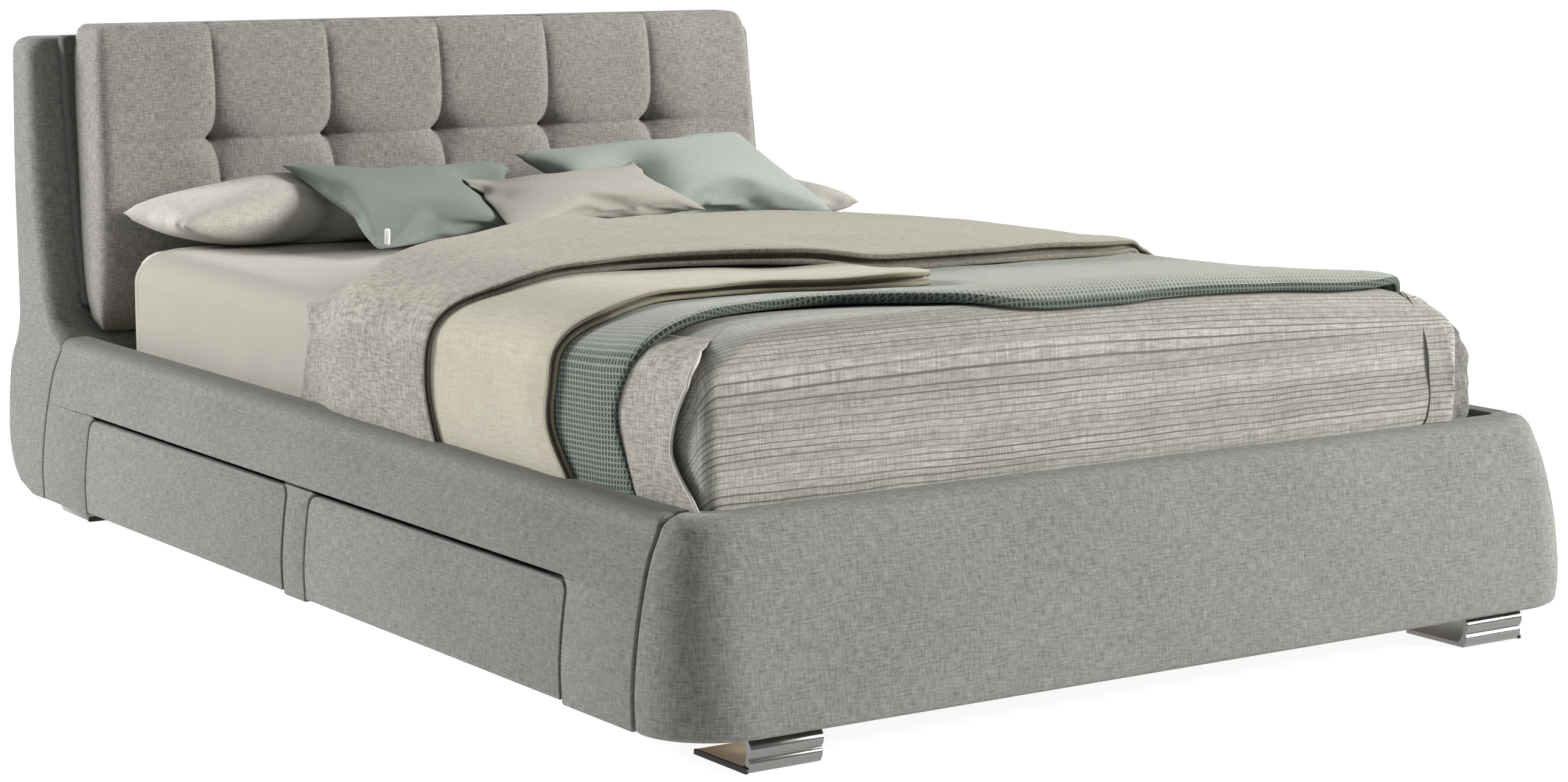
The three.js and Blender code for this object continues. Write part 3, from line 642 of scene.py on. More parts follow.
def make_pad():
    front = smooth_curve((PAD_LOW.z, 0.97), (0.38, 0.946), (0.464, 0.926), (0.663, 0.938), (0.865, 0.962),
                         (PAD_HIGH.z, 0.985))
    half = smooth_curve((PAD_LOW.z, 0.716), (0.38, 0.73), (0.45, 0.734), (0.657, 0.726), (0.865, 0.718),
                        (PAD_HIGH.z, 0.708))
    corner = smooth_curve((PAD_LOW.z, 0.006), (0.372, 0.012), (0.44, 0.028), (0.865, 0.022),
                          (PAD_HIGH.z, 0.012))
    top, flat = 0.014, 0.62  # the top edge's rounding, and half the face's width between its plain ends
    narrowed, shift = 0.996, -0.012  # the pad sits a little to the left of its CAD solid
    rows_of_tufts = [evenly(t - 0.03, t + 0.03, 13) for t in TUFT_Z]
    heights = np.unique(np.round(join([evenly(PAD_LOW.z, PAD_HIGH.z - top, 84), *rows_of_tufts]), 4))
    seams = [join([-0.05 * evenly(1, 0, 12) ** 1.6, [0], 0.05 * evenly(0, 1, 12) ** 1.6]) + t for t in TUFT_X]
    xs = np.unique(np.round(join([evenly(-flat, flat, 141), *seams]), 4))
    edge_steps = evenly(0, 1, 9)[1:]
    angle = turns(0, 90, 10)[:-1]
    rows, cloth = [], []
    for z, inset in [*((z, 0.0) for z in heights), *rounded_top(PAD_HIGH.z, top, 10, 9)]:
        face, wide, radius = float(front(z)) + inset, float(half(z)) - inset, max(float(corner(z)), 0.004)
        tucked = max(0.0, BOARD_LOW - z) * 0.44
        rear = float(shell_front(min(z, SLOPE_TOP))) - PAD_BOARD + tucked - inset * 0.9
        end = wide - radius
        x_front = join([-flat - (end - flat) * edge_steps[::-1], xs, flat + (end - flat) * edge_steps])
        left = join([beside(-wide, evenly(rear, face + radius, 9)[:-1]),
                     beside(-end - radius * np.cos(angle), face + radius - radius * np.sin(angle))])
        right = left[::-1] * (-1, 1)
        pulled = pad_creases(x_front, np.full_like(x_front, z)) * clip((z - PAD_LOW.z) / 0.06, 0, 1)
        ring = join([left, beside(x_front, np.minimum(face + pulled, rear - 0.004)), right])
        steps = travelled(join([left, beside(x_front, face), right]))
        ring[:, 0] = ring[:, 0] * narrowed + shift
        rows.append(beside(ring, z))
        cloth.append(beside(steps - steps[len(steps) // 2], z))
    count = len(rows[0])
    faces = list(grid_faces(len(rows), count))
    base = (len(rows) - 1) * count
    for a in range(count // 2 - 1):  # the lid and the underside
        b, c, d = a + 1, count - 2 - a, count - 1 - a
        faces += [(base + a, base + b, base + c, base + d), (d, c, b, a)]
    faces += [(r * count, (r + 1) * count, (r + 2) * count - 1, (r + 1) * count - 1)
              for r in range(len(rows) - 1)]
    obj = new_object("headboard_pad", join(rows), faces, join(cloth))
    fix_normals(obj)
    settle(obj, "base", pad_lit_cloth, ["headboard_cushion"])


make_shell()
make_pad_board()
make_pad()

# --- feet

FOOT_LENGTH = 0.125
FOOT_CAP = 0.004
PLATE = 0.008


def foot_section(top):
    """A bent plate in (depth from the web, z): lower arm, ribbed web, upper arm."""
    web = smooth_curve((0.0, 0.009), (0.004, 0.0055), (0.012, 0.0025), (0.0185, 0.003), (0.0215, 0.0052),
                       (0.0245, 0.003), (0.033, 0.0), (0.042, 0.0022), (0.048, 0.008), (top, 0.015))
    z = evenly(0, top, 34)
    inside = [(0.018, top - PLATE), (0.0135, 0.038), (0.0105, 0.033), (0.011, 0.024), (0.015, 0.014),
              (0.02, PLATE)]
    lip = [(0.133, PLATE - 0.0005), (0.134, PLATE - 0.002), (0.134, 0.001), (0.1335, 0.0)]
    return [*beside(web(z), z), (0.078, top), (0.078, top - PLATE), *inside, *lip]


LOWER_ARM = [(0.006, 0.0), (0.003, 0.003), (0.006, 0.0085), (0.133, 0.008), (0.1345, 0.006), (0.1345, 0.001),
             (0.1335, 0.0)]


def make_foot(name, low, high, turned):
    """A bent chrome plate, with a black plastic end on its lower arm. turned: the web faces +X, not -Y."""
    parts = []
    for part, section, a, b, rounding in (
            ("plate", foot_section(BASE_BOTTOM - 0.0003), 0.0, FOOT_LENGTH - FOOT_CAP, 0.0022),
            ("cap", LOWER_ARM, FOOT_LENGTH - FOOT_CAP, FOOT_LENGTH, 0.001)):
        depth, z = np.array(section).T
        if turned:  # the cap is at the end towards the footboard
            obj = sweep(f"{name}_{part}", beside(high.x - depth, z), low.y + FOOT_LENGTH - b,
                        low.y + FOOT_LENGTH - a, "y")
        else:
            obj = sweep(f"{name}_{part}", beside(low.y + depth, z), low.x + a, low.x + b, "x")
        soften(obj, rounding, angle=40)
        parts.append(obj)
    return parts


for end, turned in (("front", False), ("rear", True)):
    for part in make_foot(f"foot_{end}_right", *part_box(f"foot_{end}_right"), turned):
        is_plate = part.name.endswith("plate")
        twin = mirrored(part, part.name.replace("right", "left"))
        for obj, side in ((part, "right"), (twin, "left")):
            settle(obj, "base", chrome if is_plate else black_plastic,
                   [f"foot_{end}_{side}"] if is_plate else ())
            # The lower arm's up-facing faces take the brighter steel, a painted reflection.
            if is_plate:
                obj.data.materials.append(bright_steel)
                for face in obj.data.polygons:
                    if face.normal.z > 0.7 and face.center.z < 0.02:
                        face.material_index = 1

# --- bedding: the surface that the cloths lie on

LEFT, RIGHT = -0.757, 0.668
FOOT_FACE = -1.098
FOOT_ROUND = 0.06
BED_LOW = 0.322
LEFT_ROUND, RIGHT_ROUND = (0.15, 0.065), (0.15, 0.07)  # (across, down)
RIDGE = -0.147  # the bed is highest along this x
STATION_STEP, LENGTH_STEP = 0.01, 0.005

crest = smooth_curve((-1.15, 0.588), (-1.06, 0.59), (-0.95, 0.585), (-0.85, 0.577), (-0.6, 0.567),
                     (-0.35, 0.565), (-0.22, 0.564), (0.0, 0.559), (0.22, 0.55), (0.45, 0.537),
                     (0.66, 0.527), (0.9, 0.52))


def bed_top(x, y):
    """Height of the made bed's top, before its edges are rounded."""
    off = x - RIDGE
    return crest(y) - np.where(off > 0, 0.024 * (off / 0.66) ** 2, 0.006 * (off / 0.6) ** 2)


def section_table():
    """Points and outward normals of the bed's cross-section, for y stations and lengths a across it."""
    stations = np.arange(-1.2, 0.961, STATION_STEP)
    lengths = np.arange(-1.05, 1.0, LENGTH_STEP)
    table = np.empty((len(stations), len(lengths), 4))
    angle = turns(0, 90, 40)
    low, wall = 0.22, 49  # where the side walls start, and how many points they have
    x_left, x_right = LEFT + LEFT_ROUND[0], RIGHT - RIGHT_ROUND[0]
    x = evenly(x_left, x_right, 120)[1:-1]
    for k, y in enumerate(stations):
        down = clip((FOOT_FACE + FOOT_ROUND - y) / FOOT_ROUND, 0, 1)
        drop = 0.055 * (1 - math.sqrt(1 - min(down, 0.995) ** 2))
        left = beside(LEFT + LEFT_ROUND[0] * (1 - np.cos(angle)),
                      bed_top(x_left, y) - LEFT_ROUND[1] * (1 - np.sin(angle)))
        right = beside(RIGHT - RIGHT_ROUND[0] * (1 - np.cos(angle)),
                       bed_top(x_right, y) - RIGHT_ROUND[1] * (1 - np.sin(angle)))[::-1]
        line = join([beside(LEFT, evenly(low, left[0, 1], wall + 1)[:-1]), left, beside(x, bed_top(x, y)),
                     right, beside(RIGHT, evenly(low, right[-1, 1], wall + 1)[:-1][::-1])])
        line[:, 1] -= drop * clip((line[:, 1] - 0.35) / 0.15, 0, 1)
        steps = travelled(line)
        steps -= np.interp(0, line[wall:-wall, 0], steps[wall:-wall])
        dx, dz = np.gradient(line, axis=0).T
        normal = np.stack([-dz, dx]) / (np.hypot(dx, dz) + 1e-12)
        for c, values in enumerate((*line.T, *normal)):
            table[k, :, c] = np.interp(lengths, steps, values)
    return stations, lengths, table


STATIONS, LENGTHS, TABLE = section_table()


def on_bed(a, y, lift):
    """Points at length a across the bed and y along it, lifted off its surface."""
    fy = clip((y - STATIONS[0]) / STATION_STEP, 0, len(STATIONS) - 1.001)
    fa = clip((a - LENGTHS[0]) / LENGTH_STEP, 0, len(LENGTHS) - 1.001)
    i, j = fy.astype(int), fa.astype(int)
    v, u = (fy - i)[..., None], (fa - j)[..., None]
    near, far = (TABLE[row, j] * (1 - u) + TABLE[row, j + 1] * u for row in (i, i + 1))
    value = near * (1 - v) + far * v
    return np.stack([value[..., 0] + lift * value[..., 2], y, value[..., 1] + lift * value[..., 3]], -1)


def length_at(y, x=None, z=None):
    """The length across the bed where its section at y passes x on the top, or z on the left side."""
    row = TABLE[int(round((y - STATIONS[0]) / STATION_STEP))]
    part = LENGTHS < -0.6 if x is None else row[:, 1] > 0.5
    return float(np.interp(z if x is None else x, row[part, 1 if x is None else 0], LENGTHS[part]))


def make_sheet(obj, thickness, material, nodes, turned=None, shaded_faces=0):
    """Makes a surface, the cloth's outer face, into a sheet. If a second material is given, the first faces
    take it: a darker copy of the cloth, painted shade on a folded edge.
    """
    solid = obj.modifiers.new("thickness", "SOLIDIFY")
    solid.thickness, solid.offset = thickness, -1
    settle(obj, "base", material, nodes)
    if turned:
        obj.data.materials.append(turned)
        index = np.zeros(len(obj.data.polygons), np.int32)
        index[:shaded_faces] = 1
        obj.data.polygons.foreach_set("material_index", index)
    apply_modifiers(obj)
    return obj


def cloth_sheet(name, rows, cloth, thickness, material, nodes, turned=None,
                shaded_rows=0):
    """A sheet from rows of points and their cloth coordinates. Its flat size is measured along the rows."""
    points, uv = np.array(rows), np.array(cloth)
    down, across = points.shape[:2]
    obj = new_object(name, points.reshape(-1, 3), grid_faces(down, across), uv.reshape(-1, 2))
    return make_sheet(obj, thickness, material, nodes,
                      turned, shaded_rows * (across - 1))


# --- bedding: caps (sheet and quilt)


def cap(x0, x1, y0, y1, corner, edges, height):
    """A soft lid over a block: points, cloth coordinates and faces. edges is ((across, down) of the rounding
    on the left, right, foot and head), height the top's function of x and y."""
    along, across, corner_steps, rise, rounding, inside = 90, 70, 12, 14, 14, 30
    kinds = np.repeat(["foot", "corner_foot", "right", "corner", "head", "corner", "left", "corner_foot"],
                      [across, corner_steps, along, corner_steps] * 2)

    def ring(insets, radius):
        left, right, foot, head = insets
        a0, a1, b0, b1 = x0 + left, x1 - right, y0 + foot, y1 - head
        radius = max(min(radius, (a1 - a0) / 2 - 1e-4, (b1 - b0) / 2 - 1e-4), 1e-4)
        c0, c1, d0, d1 = a0 + radius, a1 - radius, b0 + radius, b1 - radius
        parts = []
        for start, stop, steps, centre, turn in (
                ((c0, b0), (c1, b0), across, (c1, d0), -90), ((a1, d0), (a1, d1), along, (c1, d1), 0),
                ((c1, b1), (c0, b1), across, (c0, d1), 90), ((a0, d1), (a0, d0), along, (c0, d0), 180)):
            t = evenly(0, 1, steps)[:, None]
            parts.append(np.array(start) * (1 - t) + np.array(stop) * t)
            angle = turns(turn, turn + 90, corner_steps + 2)[1:-1]
            parts.append(beside(centre[0] + radius * np.cos(angle), centre[1] + radius * np.sin(angle)))
        return join(parts)

    down, start = max(e[1] for e in edges), max(e[0] for e in edges)
    outer = ring((0, 0, 0, 0), corner)
    top = height(*outer.T) - down
    rings = [beside(outer, BED_LOW + k / rise * (top - BED_LOW)) for k in range(rise)]
    for angle in turns(0, 90, rounding):
        turned = 1 - math.cos(angle)
        points = ring([e[0] * turned for e in edges], corner + (start - corner) * 0.5 * turned)
        rings.append(beside(points, height(*points.T) - down * (1 - math.sin(angle))))
    for step in evenly(0, 1, inside + 1)[1:]:
        extra = step * ((x1 - x0) / 2 - start - 0.004)
        points = ring([e[0] + extra for e in edges], max(start - extra, 0.01) * 0.6)
        rings.append(beside(points, height(*points.T)))
    points = np.array(rings)
    rim = rise + rounding - 1
    drop = np.zeros(points.shape[:2])
    for k in range(rim, 0, -1):
        drop[k - 1] = drop[k] + np.linalg.norm(points[k - 1] - points[k], axis=-1)
    x, y = points[rim, :, 0], points[rim, :, 1]
    u = np.where(kinds == "right", x + drop, np.where(kinds == "left", x - drop, points[..., 0]))
    v = np.where(np.isin(kinds, ("foot", "corner_foot")), y - drop,
                 np.where(kinds == "head", y + drop, points[..., 1]))
    uv = np.stack([u, v], -1)
    uv[rim + 1:] = points[rim + 1:, :, :2]
    count = points.shape[1]
    faces = list(grid_faces(len(points), count, around=True))
    faces.append(range((len(points) - 1) * count, len(points) * count))
    return points.reshape(-1, 3), uv.reshape(-1, 2), faces


def sheet_height(x, y):
    return 0.519 + 0.002 * ripple(x, y, 3, 1.6)


points, uv, faces = cap(-0.742, MATTRESS_HIGH.x + 0.006, MATTRESS_LOW.y - 0.004, 0.85, 0.075,
                        ((0.06, 0.06),) * 4, sheet_height)
wave = 0.0022 * ripple(points[:, 1], points[:, 2], 11, 0.5) * clip((0.5 - points[:, 2]) / 0.1, 0, 1)
points[:, 0] += np.where(points[:, 0] < 0, -wave, wave)
fitted = make_sheet(new_object("fitted_sheet_cover", points, faces, uv), 0.0015, sheet_cloth,
                    ["fitted_sheet"])


def quilt_height(x, y):
    return bed_top(x, y) + 0.0015 * ripple(x, y, 5, 1.2)


def make_quilt():
    """The quilt's main face: top and foot drop, one cloth with striped weave."""
    end = -0.18  # the rest of the quilt lies under the coverlet
    points, uv, faces = cap(LEFT + 0.004, RIGHT, FOOT_FACE, 0.3, 0.022,
                            (LEFT_ROUND, RIGHT_ROUND, (FOOT_ROUND, 0.055), (0.06, 0.055)), quilt_height)
    x, y, z = points.T
    hang = clip((0.545 - z) / 0.15, 0, 1) * (y < -1.02)
    y -= hang * (0.004 * ripple(x, z, 8, 0.45) + 0.004)
    # the woven lines run level on the foot drop, and follow the bed's rounded top higher up
    level, at_foot = clip((z - 0.49) / 0.05, 0, 1), y < FOOT_FACE + 0.1
    uv[:, 1] = np.where(at_foot, y - bed_top(x, -1.0) * level - 0.56 * (1 - level) + z, y)
    obj = new_object("quilt_cover", points, faces, uv)
    change_mesh(obj, lambda mesh: bmesh.ops.delete(
        mesh, geom=[f for f in mesh.faces if f.calc_center_median().y >= end], context="FACES"))
    make_sheet(obj, 0.004, quilt_cloth, ["quilt"])


make_quilt()

# --- bedding: folded layers

UNDER = 0.075  # how far a folded edge returns under itself
EDGE_STATION = -0.8  # the layers' edges are given on the bed's section at this y
SIDE_LOW = 0.326  # the lowest visible height on the left side


def edge_path(height, plies):
    """Offsets from the edge and heights of a folded edge, from below to its upper face, for each height."""
    turn = turns(-90, 90, 11)
    r = height / (2 if plies == 1 else 6)
    path = [(np.maximum(o, r), 0 * r) for o in evenly(UNDER, 0.004, 8)]
    path += [(r - r * math.cos(t), r + r * math.sin(t)) for t in turn]
    if plies == 2:
        tuck, lip = 0.016, r + 0.0015
        path += [(r + (tuck - r) * t, 2 * r) for t in (0.35, 0.7)]
        path += [(tuck + r * math.cos(t), 3 * r + r * math.sin(t)) for t in turn[::2]]
        path += [(tuck + (lip - tuck) * t, 4 * r) for t in (0.3, 0.65)]
        path += [(lip - r * math.cos(t), 5 * r + r * math.sin(t)) for t in turn]
    return path


def drop_to_sheet(points, share, high):
    """Lowers a cloth by share of the way from high to the fitted sheet, and draws its sides in to it."""
    low, sheet_top = 0.35, 0.524
    points[:, 2] -= share * clip(points[:, 2] - low, 0, 1) * (1 - (sheet_top - low) / (high - low))
    inner = np.where(points[:, 0] < 0, -0.7465, 0.6575)
    side = np.abs(points[:, 0]) > np.abs(inner)
    points[side, 0] += (share * (inner - points[:, 0]))[side]


def folded_layer(name, foot_edge, head_edge, a_range, base_lift, height, thickness, material, turned,
                 nodes, seed, plies=2, head_drop=None, waves=0.002, steps_y=70, end_curl=0.0):
    """A cloth across the bed whose foot-side edge is folded back under itself. foot_edge and head_edge give y
    for each length a; base_lift the gap to the bed; height the folded edge's height."""
    a = evenly(*a_range, 260)
    near, far = foot_edge(a), head_edge(a)
    base, height = base_lift(a) + 0 * a, height(a) + 0 * a
    edge = edge_path(height, plies)
    start = edge[-1][0]
    offsets = [start + (far - near - start) * t for t in evenly(0, 1, steps_y)[1:] ** 1.25]
    upper = [(offset, height + 0.003 * np.exp(-((offset - 0.05) / 0.05) ** 2)) for offset in offsets]
    rows, cloth, gone = [], [], np.zeros_like(a)
    for offset, rise in [*edge, *upper]:
        y = near + offset
        lift = base + rise + waves * ripple(a, y, seed, 0.55) * clip(rise / height, 0, 1)
        lift = lift + end_curl * clip(1 - (a_range[1] - a) / 0.03, 0, 1)
        points = on_bed(a, y, lift)
        if head_drop:
            drop_to_sheet(points, smooth_step(1 - (far - y) / head_drop(a)), bed_top(-0.3, y) + base + height)
        if rows:
            gone = gone + np.linalg.norm(points - rows[-1], axis=-1)
        rows.append(points)
        cloth.append(beside(a, near + gone))
    # The folded edge's rows take the darker fold material: painted shade on the edge.
    return cloth_sheet(name, rows, cloth, thickness, material, nodes, turned,
                       len(edge) - 3)


def edge_curve(side, top):
    """An edge as y over the length across: side has (z, y) on the left drop, top has (x, y) on the top."""
    return smooth_curve(*[(length_at(EDGE_STATION, z=z), y) for z, y in side],
                        *[(length_at(EDGE_STATION, x=x), y) for x, y in top])


def by_width(*knots):
    """A smooth function of the length across, from (x, value) knots. x under LEFT is on the left drop."""
    return smooth_curve(*[(length_at(EDGE_STATION, x=x) if x > LEFT
                           else length_at(EDGE_STATION, z=0.5) + (x - LEFT), v) for x, v in knots])


A_LEFT = length_at(EDGE_STATION, z=SIDE_LOW)
A_RIGHT = 0.925

folded_layer(
    "throw_teal_cover",
    edge_curve([(0.326, -0.952), (0.35, -0.936), (0.439, -0.896), (0.486, -0.91), (0.53, -0.942)],
               [(-0.663, -0.945), (-0.513, -0.9), (-0.413, -0.925), (-0.323, -1.02), (-0.22, -1.074),
                (-0.04, -1.084), (0.11, -1.078), (0.3, -1.075), (0.45, -1.075), (0.55, -1.06),
                (0.6, -1.025), (0.66, -0.96)]),
    edge_curve([(0.326, -0.62), (0.5, -0.6)], [(-0.5, -0.52), (0.0, -0.42), (0.3, -0.36), (0.66, -0.36)]),
    (A_LEFT, A_RIGHT), lambda a: 0.004, by_width((-0.9, 0.009), (-0.757, 0.011), (-0.6, 0.015)), 0.003,
    teal_cloth, teal_fold_shade, ["throw_teal"], 21, plies=1)

folded_layer(
    "throw_cream_cover",
    edge_curve([(0.326, -0.812), (0.352, -0.786), (0.422, -0.738), (0.493, -0.748), (0.531, -0.76)],
               [(-0.7, -0.79), (-0.582, -0.785), (-0.469, -0.798), (-0.387, -0.85), (-0.32, -0.9),
                (-0.27, -0.915), (-0.22, -0.89), (-0.185, -0.84)]),
    edge_curve([(0.326, -0.34), (0.5, -0.34)], [(-0.5, -0.38), (-0.3, -0.48), (-0.185, -0.56)]),
    (A_LEFT, length_at(EDGE_STATION, x=-0.185)), by_width((-0.9, 0.014), (-0.757, 0.016), (-0.6, 0.02)),
    by_width((-0.9, 0.012), (-0.757, 0.014), (-0.6, 0.019)), 0.003,
    cream_cloth, cream_fold_shade, ["throw_cream"], 22, waves=0.003,
    end_curl=-0.006)

cover = folded_layer(
    "coverlet_cover",
    edge_curve([(0.326, -0.436), (0.361, -0.415), (0.432, -0.39), (0.494, -0.397), (0.53, -0.426)],
               [(-0.7, -0.5), (-0.6, -0.535), (-0.51, -0.545), (-0.37, -0.6), (-0.286, -0.64),
                (-0.19, -0.655), (-0.083, -0.645), (0.126, -0.615), (0.324, -0.558), (0.45, -0.512),
                (0.55, -0.44), (0.62, -0.37)]),
    edge_curve([(0.326, 0.135), (0.384, 0.122), (0.443, 0.108), (0.51, 0.092)],
               [(-0.68, 0.11), (-0.5, 0.16), (-0.2, 0.3), (0.1, 0.37), (0.4, 0.4), (0.66, 0.4)]),
    (A_LEFT, A_RIGHT),
    by_width((-0.9, 0.026), (-0.757, 0.029), (-0.6, 0.04), (-0.28, 0.04), (-0.13, 0.021), (0.1, 0.019)),
    by_width((-0.9, 0.009), (-0.757, 0.011), (-0.6, 0.019), (-0.3, 0.026), (0.4, 0.026), (0.6, 0.018)),
    0.0035, coverlet_cloth, coverlet_fold_shade, ["coverlet"],
    23,
    head_drop=by_width((-0.9, 0.26), (-0.5, 0.24), (0.0, 0.15)), steps_y=110)

# --- bedding: the quilt's drops


def tube(name, path, radius, material, sides=10):
    """A thin cord along a path of points, with closed ends."""
    along = np.gradient(path, axis=0)
    along /= np.linalg.norm(along, axis=1)[:, None]
    rest = np.cross(along, (0.35, 0.9, 0.2))
    rest /= np.linalg.norm(rest, axis=1)[:, None]
    other = np.cross(along, rest)
    angle = evenly(0, 2 * math.pi, sides, endpoint=False)
    order = np.arange(len(path))
    taper = clip(np.minimum(order, order[::-1]) / 2 + 0.3, 0, 1)[:, None, None]
    around = np.cos(angle)[None, :, None] * rest[:, None] + np.sin(angle)[None, :, None] * other[:, None]
    rings = path[:, None] + radius * taper * around
    uv = np.stack(np.broadcast_arrays(angle[None] * radius, travelled(path)[:, None]), -1)
    last = (len(path) - 1) * sides
    lids = [range(sides)[::-1], range(last, last + sides)]
    obj = new_object(name, rings.reshape(-1, 3), [*grid_faces(len(path), sides, around=True), *lids],
                     uv.reshape(-1, 2))
    fix_normals(obj)
    settle(obj, "base", material)


def quilt_sheet(name, rows, cloth, thickness, material):
    cloth_sheet(name, rows, cloth, thickness, material, ())


def make_flap():
    """The side drop on the left, with its hem short of the foot corner."""
    station, bed_limit, end = -0.9, -1.035, -0.7
    a = evenly(length_at(station, z=SIDE_LOW), length_at(station, z=0.562), 120)
    z = on_bed(a, np.full_like(a, station), 0.0)[:, 2]
    hem = smooth_curve((0.326, -1.112), (0.351, -1.09), (0.385, -1.054), (0.414, -1.036), (0.455, -1.045),
                       (0.498, -1.07), (0.514, -1.088), (0.525, -1.098), (0.537, -1.088), (0.55, -1.06),
                       (0.563, -1.03))(z)
    fade = smooth_step((0.56 - z) / 0.02)
    tip = np.exp(-((z - 0.523) / 0.013) ** 2)
    rows, cloth = [], []
    for t in evenly(0, 1, 70) ** 1.4:
        y = hem + (end - hem) * t
        distance = y - hem
        lift = -0.0005 + fade * (0.0085 + 0.004 * np.exp(-((distance - 0.012) / 0.02) ** 2))
        lift += 0.01 * tip * np.exp(-distance / 0.014) + 0.0018 * ripple(a, y, 31, 0.4) * fade
        points = on_bed(a, np.maximum(y, bed_limit), lift)
        points[:, 1] = y
        rows.append(points)
        cloth.append(beside(a, y))
    tube("quilt_side_hem", rows[0][z < 0.545], 0.0028, hem_cloth)
    quilt_sheet("quilt_side_drop", rows, cloth, 0.004, flap_cloth)


def make_foot_hem():
    """The foot drop's free right edge, which stands past the corner."""
    hem = smooth_curve((0.325, 0.632), (0.347, 0.636), (0.359, 0.643), (0.394, 0.647), (0.429, 0.643),
                       (0.465, 0.639), (0.507, 0.629), (0.534, 0.617))
    low, tall, high = 0.325, 0.16, 0.534
    bend = 0.72  # the share of the height where it starts to turn over
    most, band = math.radians(74), 0.047
    share = evenly(0, 1, 60)
    rows, cloth = [], []
    for level in evenly(0, 1, 90):
        turn = max(0.0, (level - bend) / (1 - bend)) * most
        z_face = low + min(level, bend) * tall
        edge = float(hem(z_face + (high - z_face) * math.sin(turn) / math.sin(most)))
        x_seam, x_end = edge - band, edge + 0.003 * math.sin(level * 31)
        x = x_seam + (x_end - x_seam) * share
        off = clip((x - RIGHT + RIGHT_ROUND[0]) / RIGHT_ROUND[0], 0, 0.99)
        reach = bed_top(x, -1.02) - RIGHT_ROUND[1] * (1 - np.sqrt(1 - off**2)) + 0.0035 - z_face
        proud = 0.001 + 0.006 * share + 0.0018 * np.sin(x * 90 + level * 9) * share**2
        z = z_face + reach * math.sin(turn)
        rows.append(beside(x, FOOT_FACE - proud - 0.006 + FOOT_ROUND * (1 - math.cos(turn)), z))
        cloth.append(beside(x, z - 0.56 + FOOT_FACE))
    start = np.array(rows)[:, 0]
    rise = evenly(0, 1, len(start))[:, None]
    seam = start + (0.0002, -0.0002, 0.0) + clip((rise - bend) / (1 - bend), 0, 1) * (0.0, -0.001, 0.0035)
    tube("quilt_foot_seam", seam[::2], 0.0013, seam_and_shade_cloth)
    quilt_sheet("quilt_foot_drop", rows, cloth, 0.003, quilt_cloth)


def make_crumple():
    """The side drop at the foot right corner, crumpled out past the foot drop's edge."""
    outer = smooth_curve((0.326, 0.7), (0.35, 0.713), (0.378, 0.717), (0.403, 0.72), (0.425, 0.712),
                         (0.45, 0.71), (0.48, 0.69), (0.508, 0.655), (0.53, 0.612))
    share = evenly(0, 1, 90)
    loose = np.exp(-((share - 0.42) / 0.22) ** 2)
    rows, cloth = [], []
    for z in evenly(SIDE_LOW, 0.516, 80):
        reach = float(outer(z))
        path = np.array([(0.6, -1.092), (0.63, -1.094), ((reach + 0.63) / 2, -1.09), (reach, -1.078),
                         (reach + 0.002, -1.052), (0.35 * reach + 0.65 * 0.676, -1.000), (0.678, -0.93),
                         (0.674, -0.84)])
        x, y = (smooth_curve(*zip(evenly(0, 1, len(path)), values))(share) for values in path.T)
        along = travelled(beside(x, y))
        wave = ripple(along + 0.3 * z, z + 0.4 * along, 77, 0.2)
        crumple = 0.012 * (1 - 2 * np.abs(wave)) + 0.003 * ripple(along, z, 78, 0.08)
        rows.append(beside(x + 0.4 * crumple * loose, y + crumple * loose, z))
        cloth.append(beside(along, z))
    # The darker weave is painted shade on the crumpled drop.
    quilt_sheet("quilt_corner_drop", rows, cloth, 0.003, seam_and_shade_cloth)


make_flap()
make_foot_hem()
make_crumple()

# --- pillows

SIMULATED_FRAMES = 24
GAP = 0.0015  # kept between two soft pieces
LEAST = 0.005  # kept between the two sides of a pressed cover


def edge_ends(mesh):
    return read(mesh.edges, "vertices", 2, np.int32).T


def neighbour_mean(mesh):
    """A function that averages values, one row for each vertex, over each vertex's neighbours."""
    one, two = edge_ends(mesh)
    count = np.bincount(one, minlength=len(mesh.vertices)) + np.bincount(two, minlength=len(mesh.vertices))

    def average(values):
        total = np.zeros_like(values)
        np.add.at(total, one, values[two])
        np.add.at(total, two, values[one])
        return (total.T / count).T

    return average


def write_points(mesh, co):
    mesh.vertices.foreach_set("co", co.astype(np.float32).ravel())
    mesh.update()


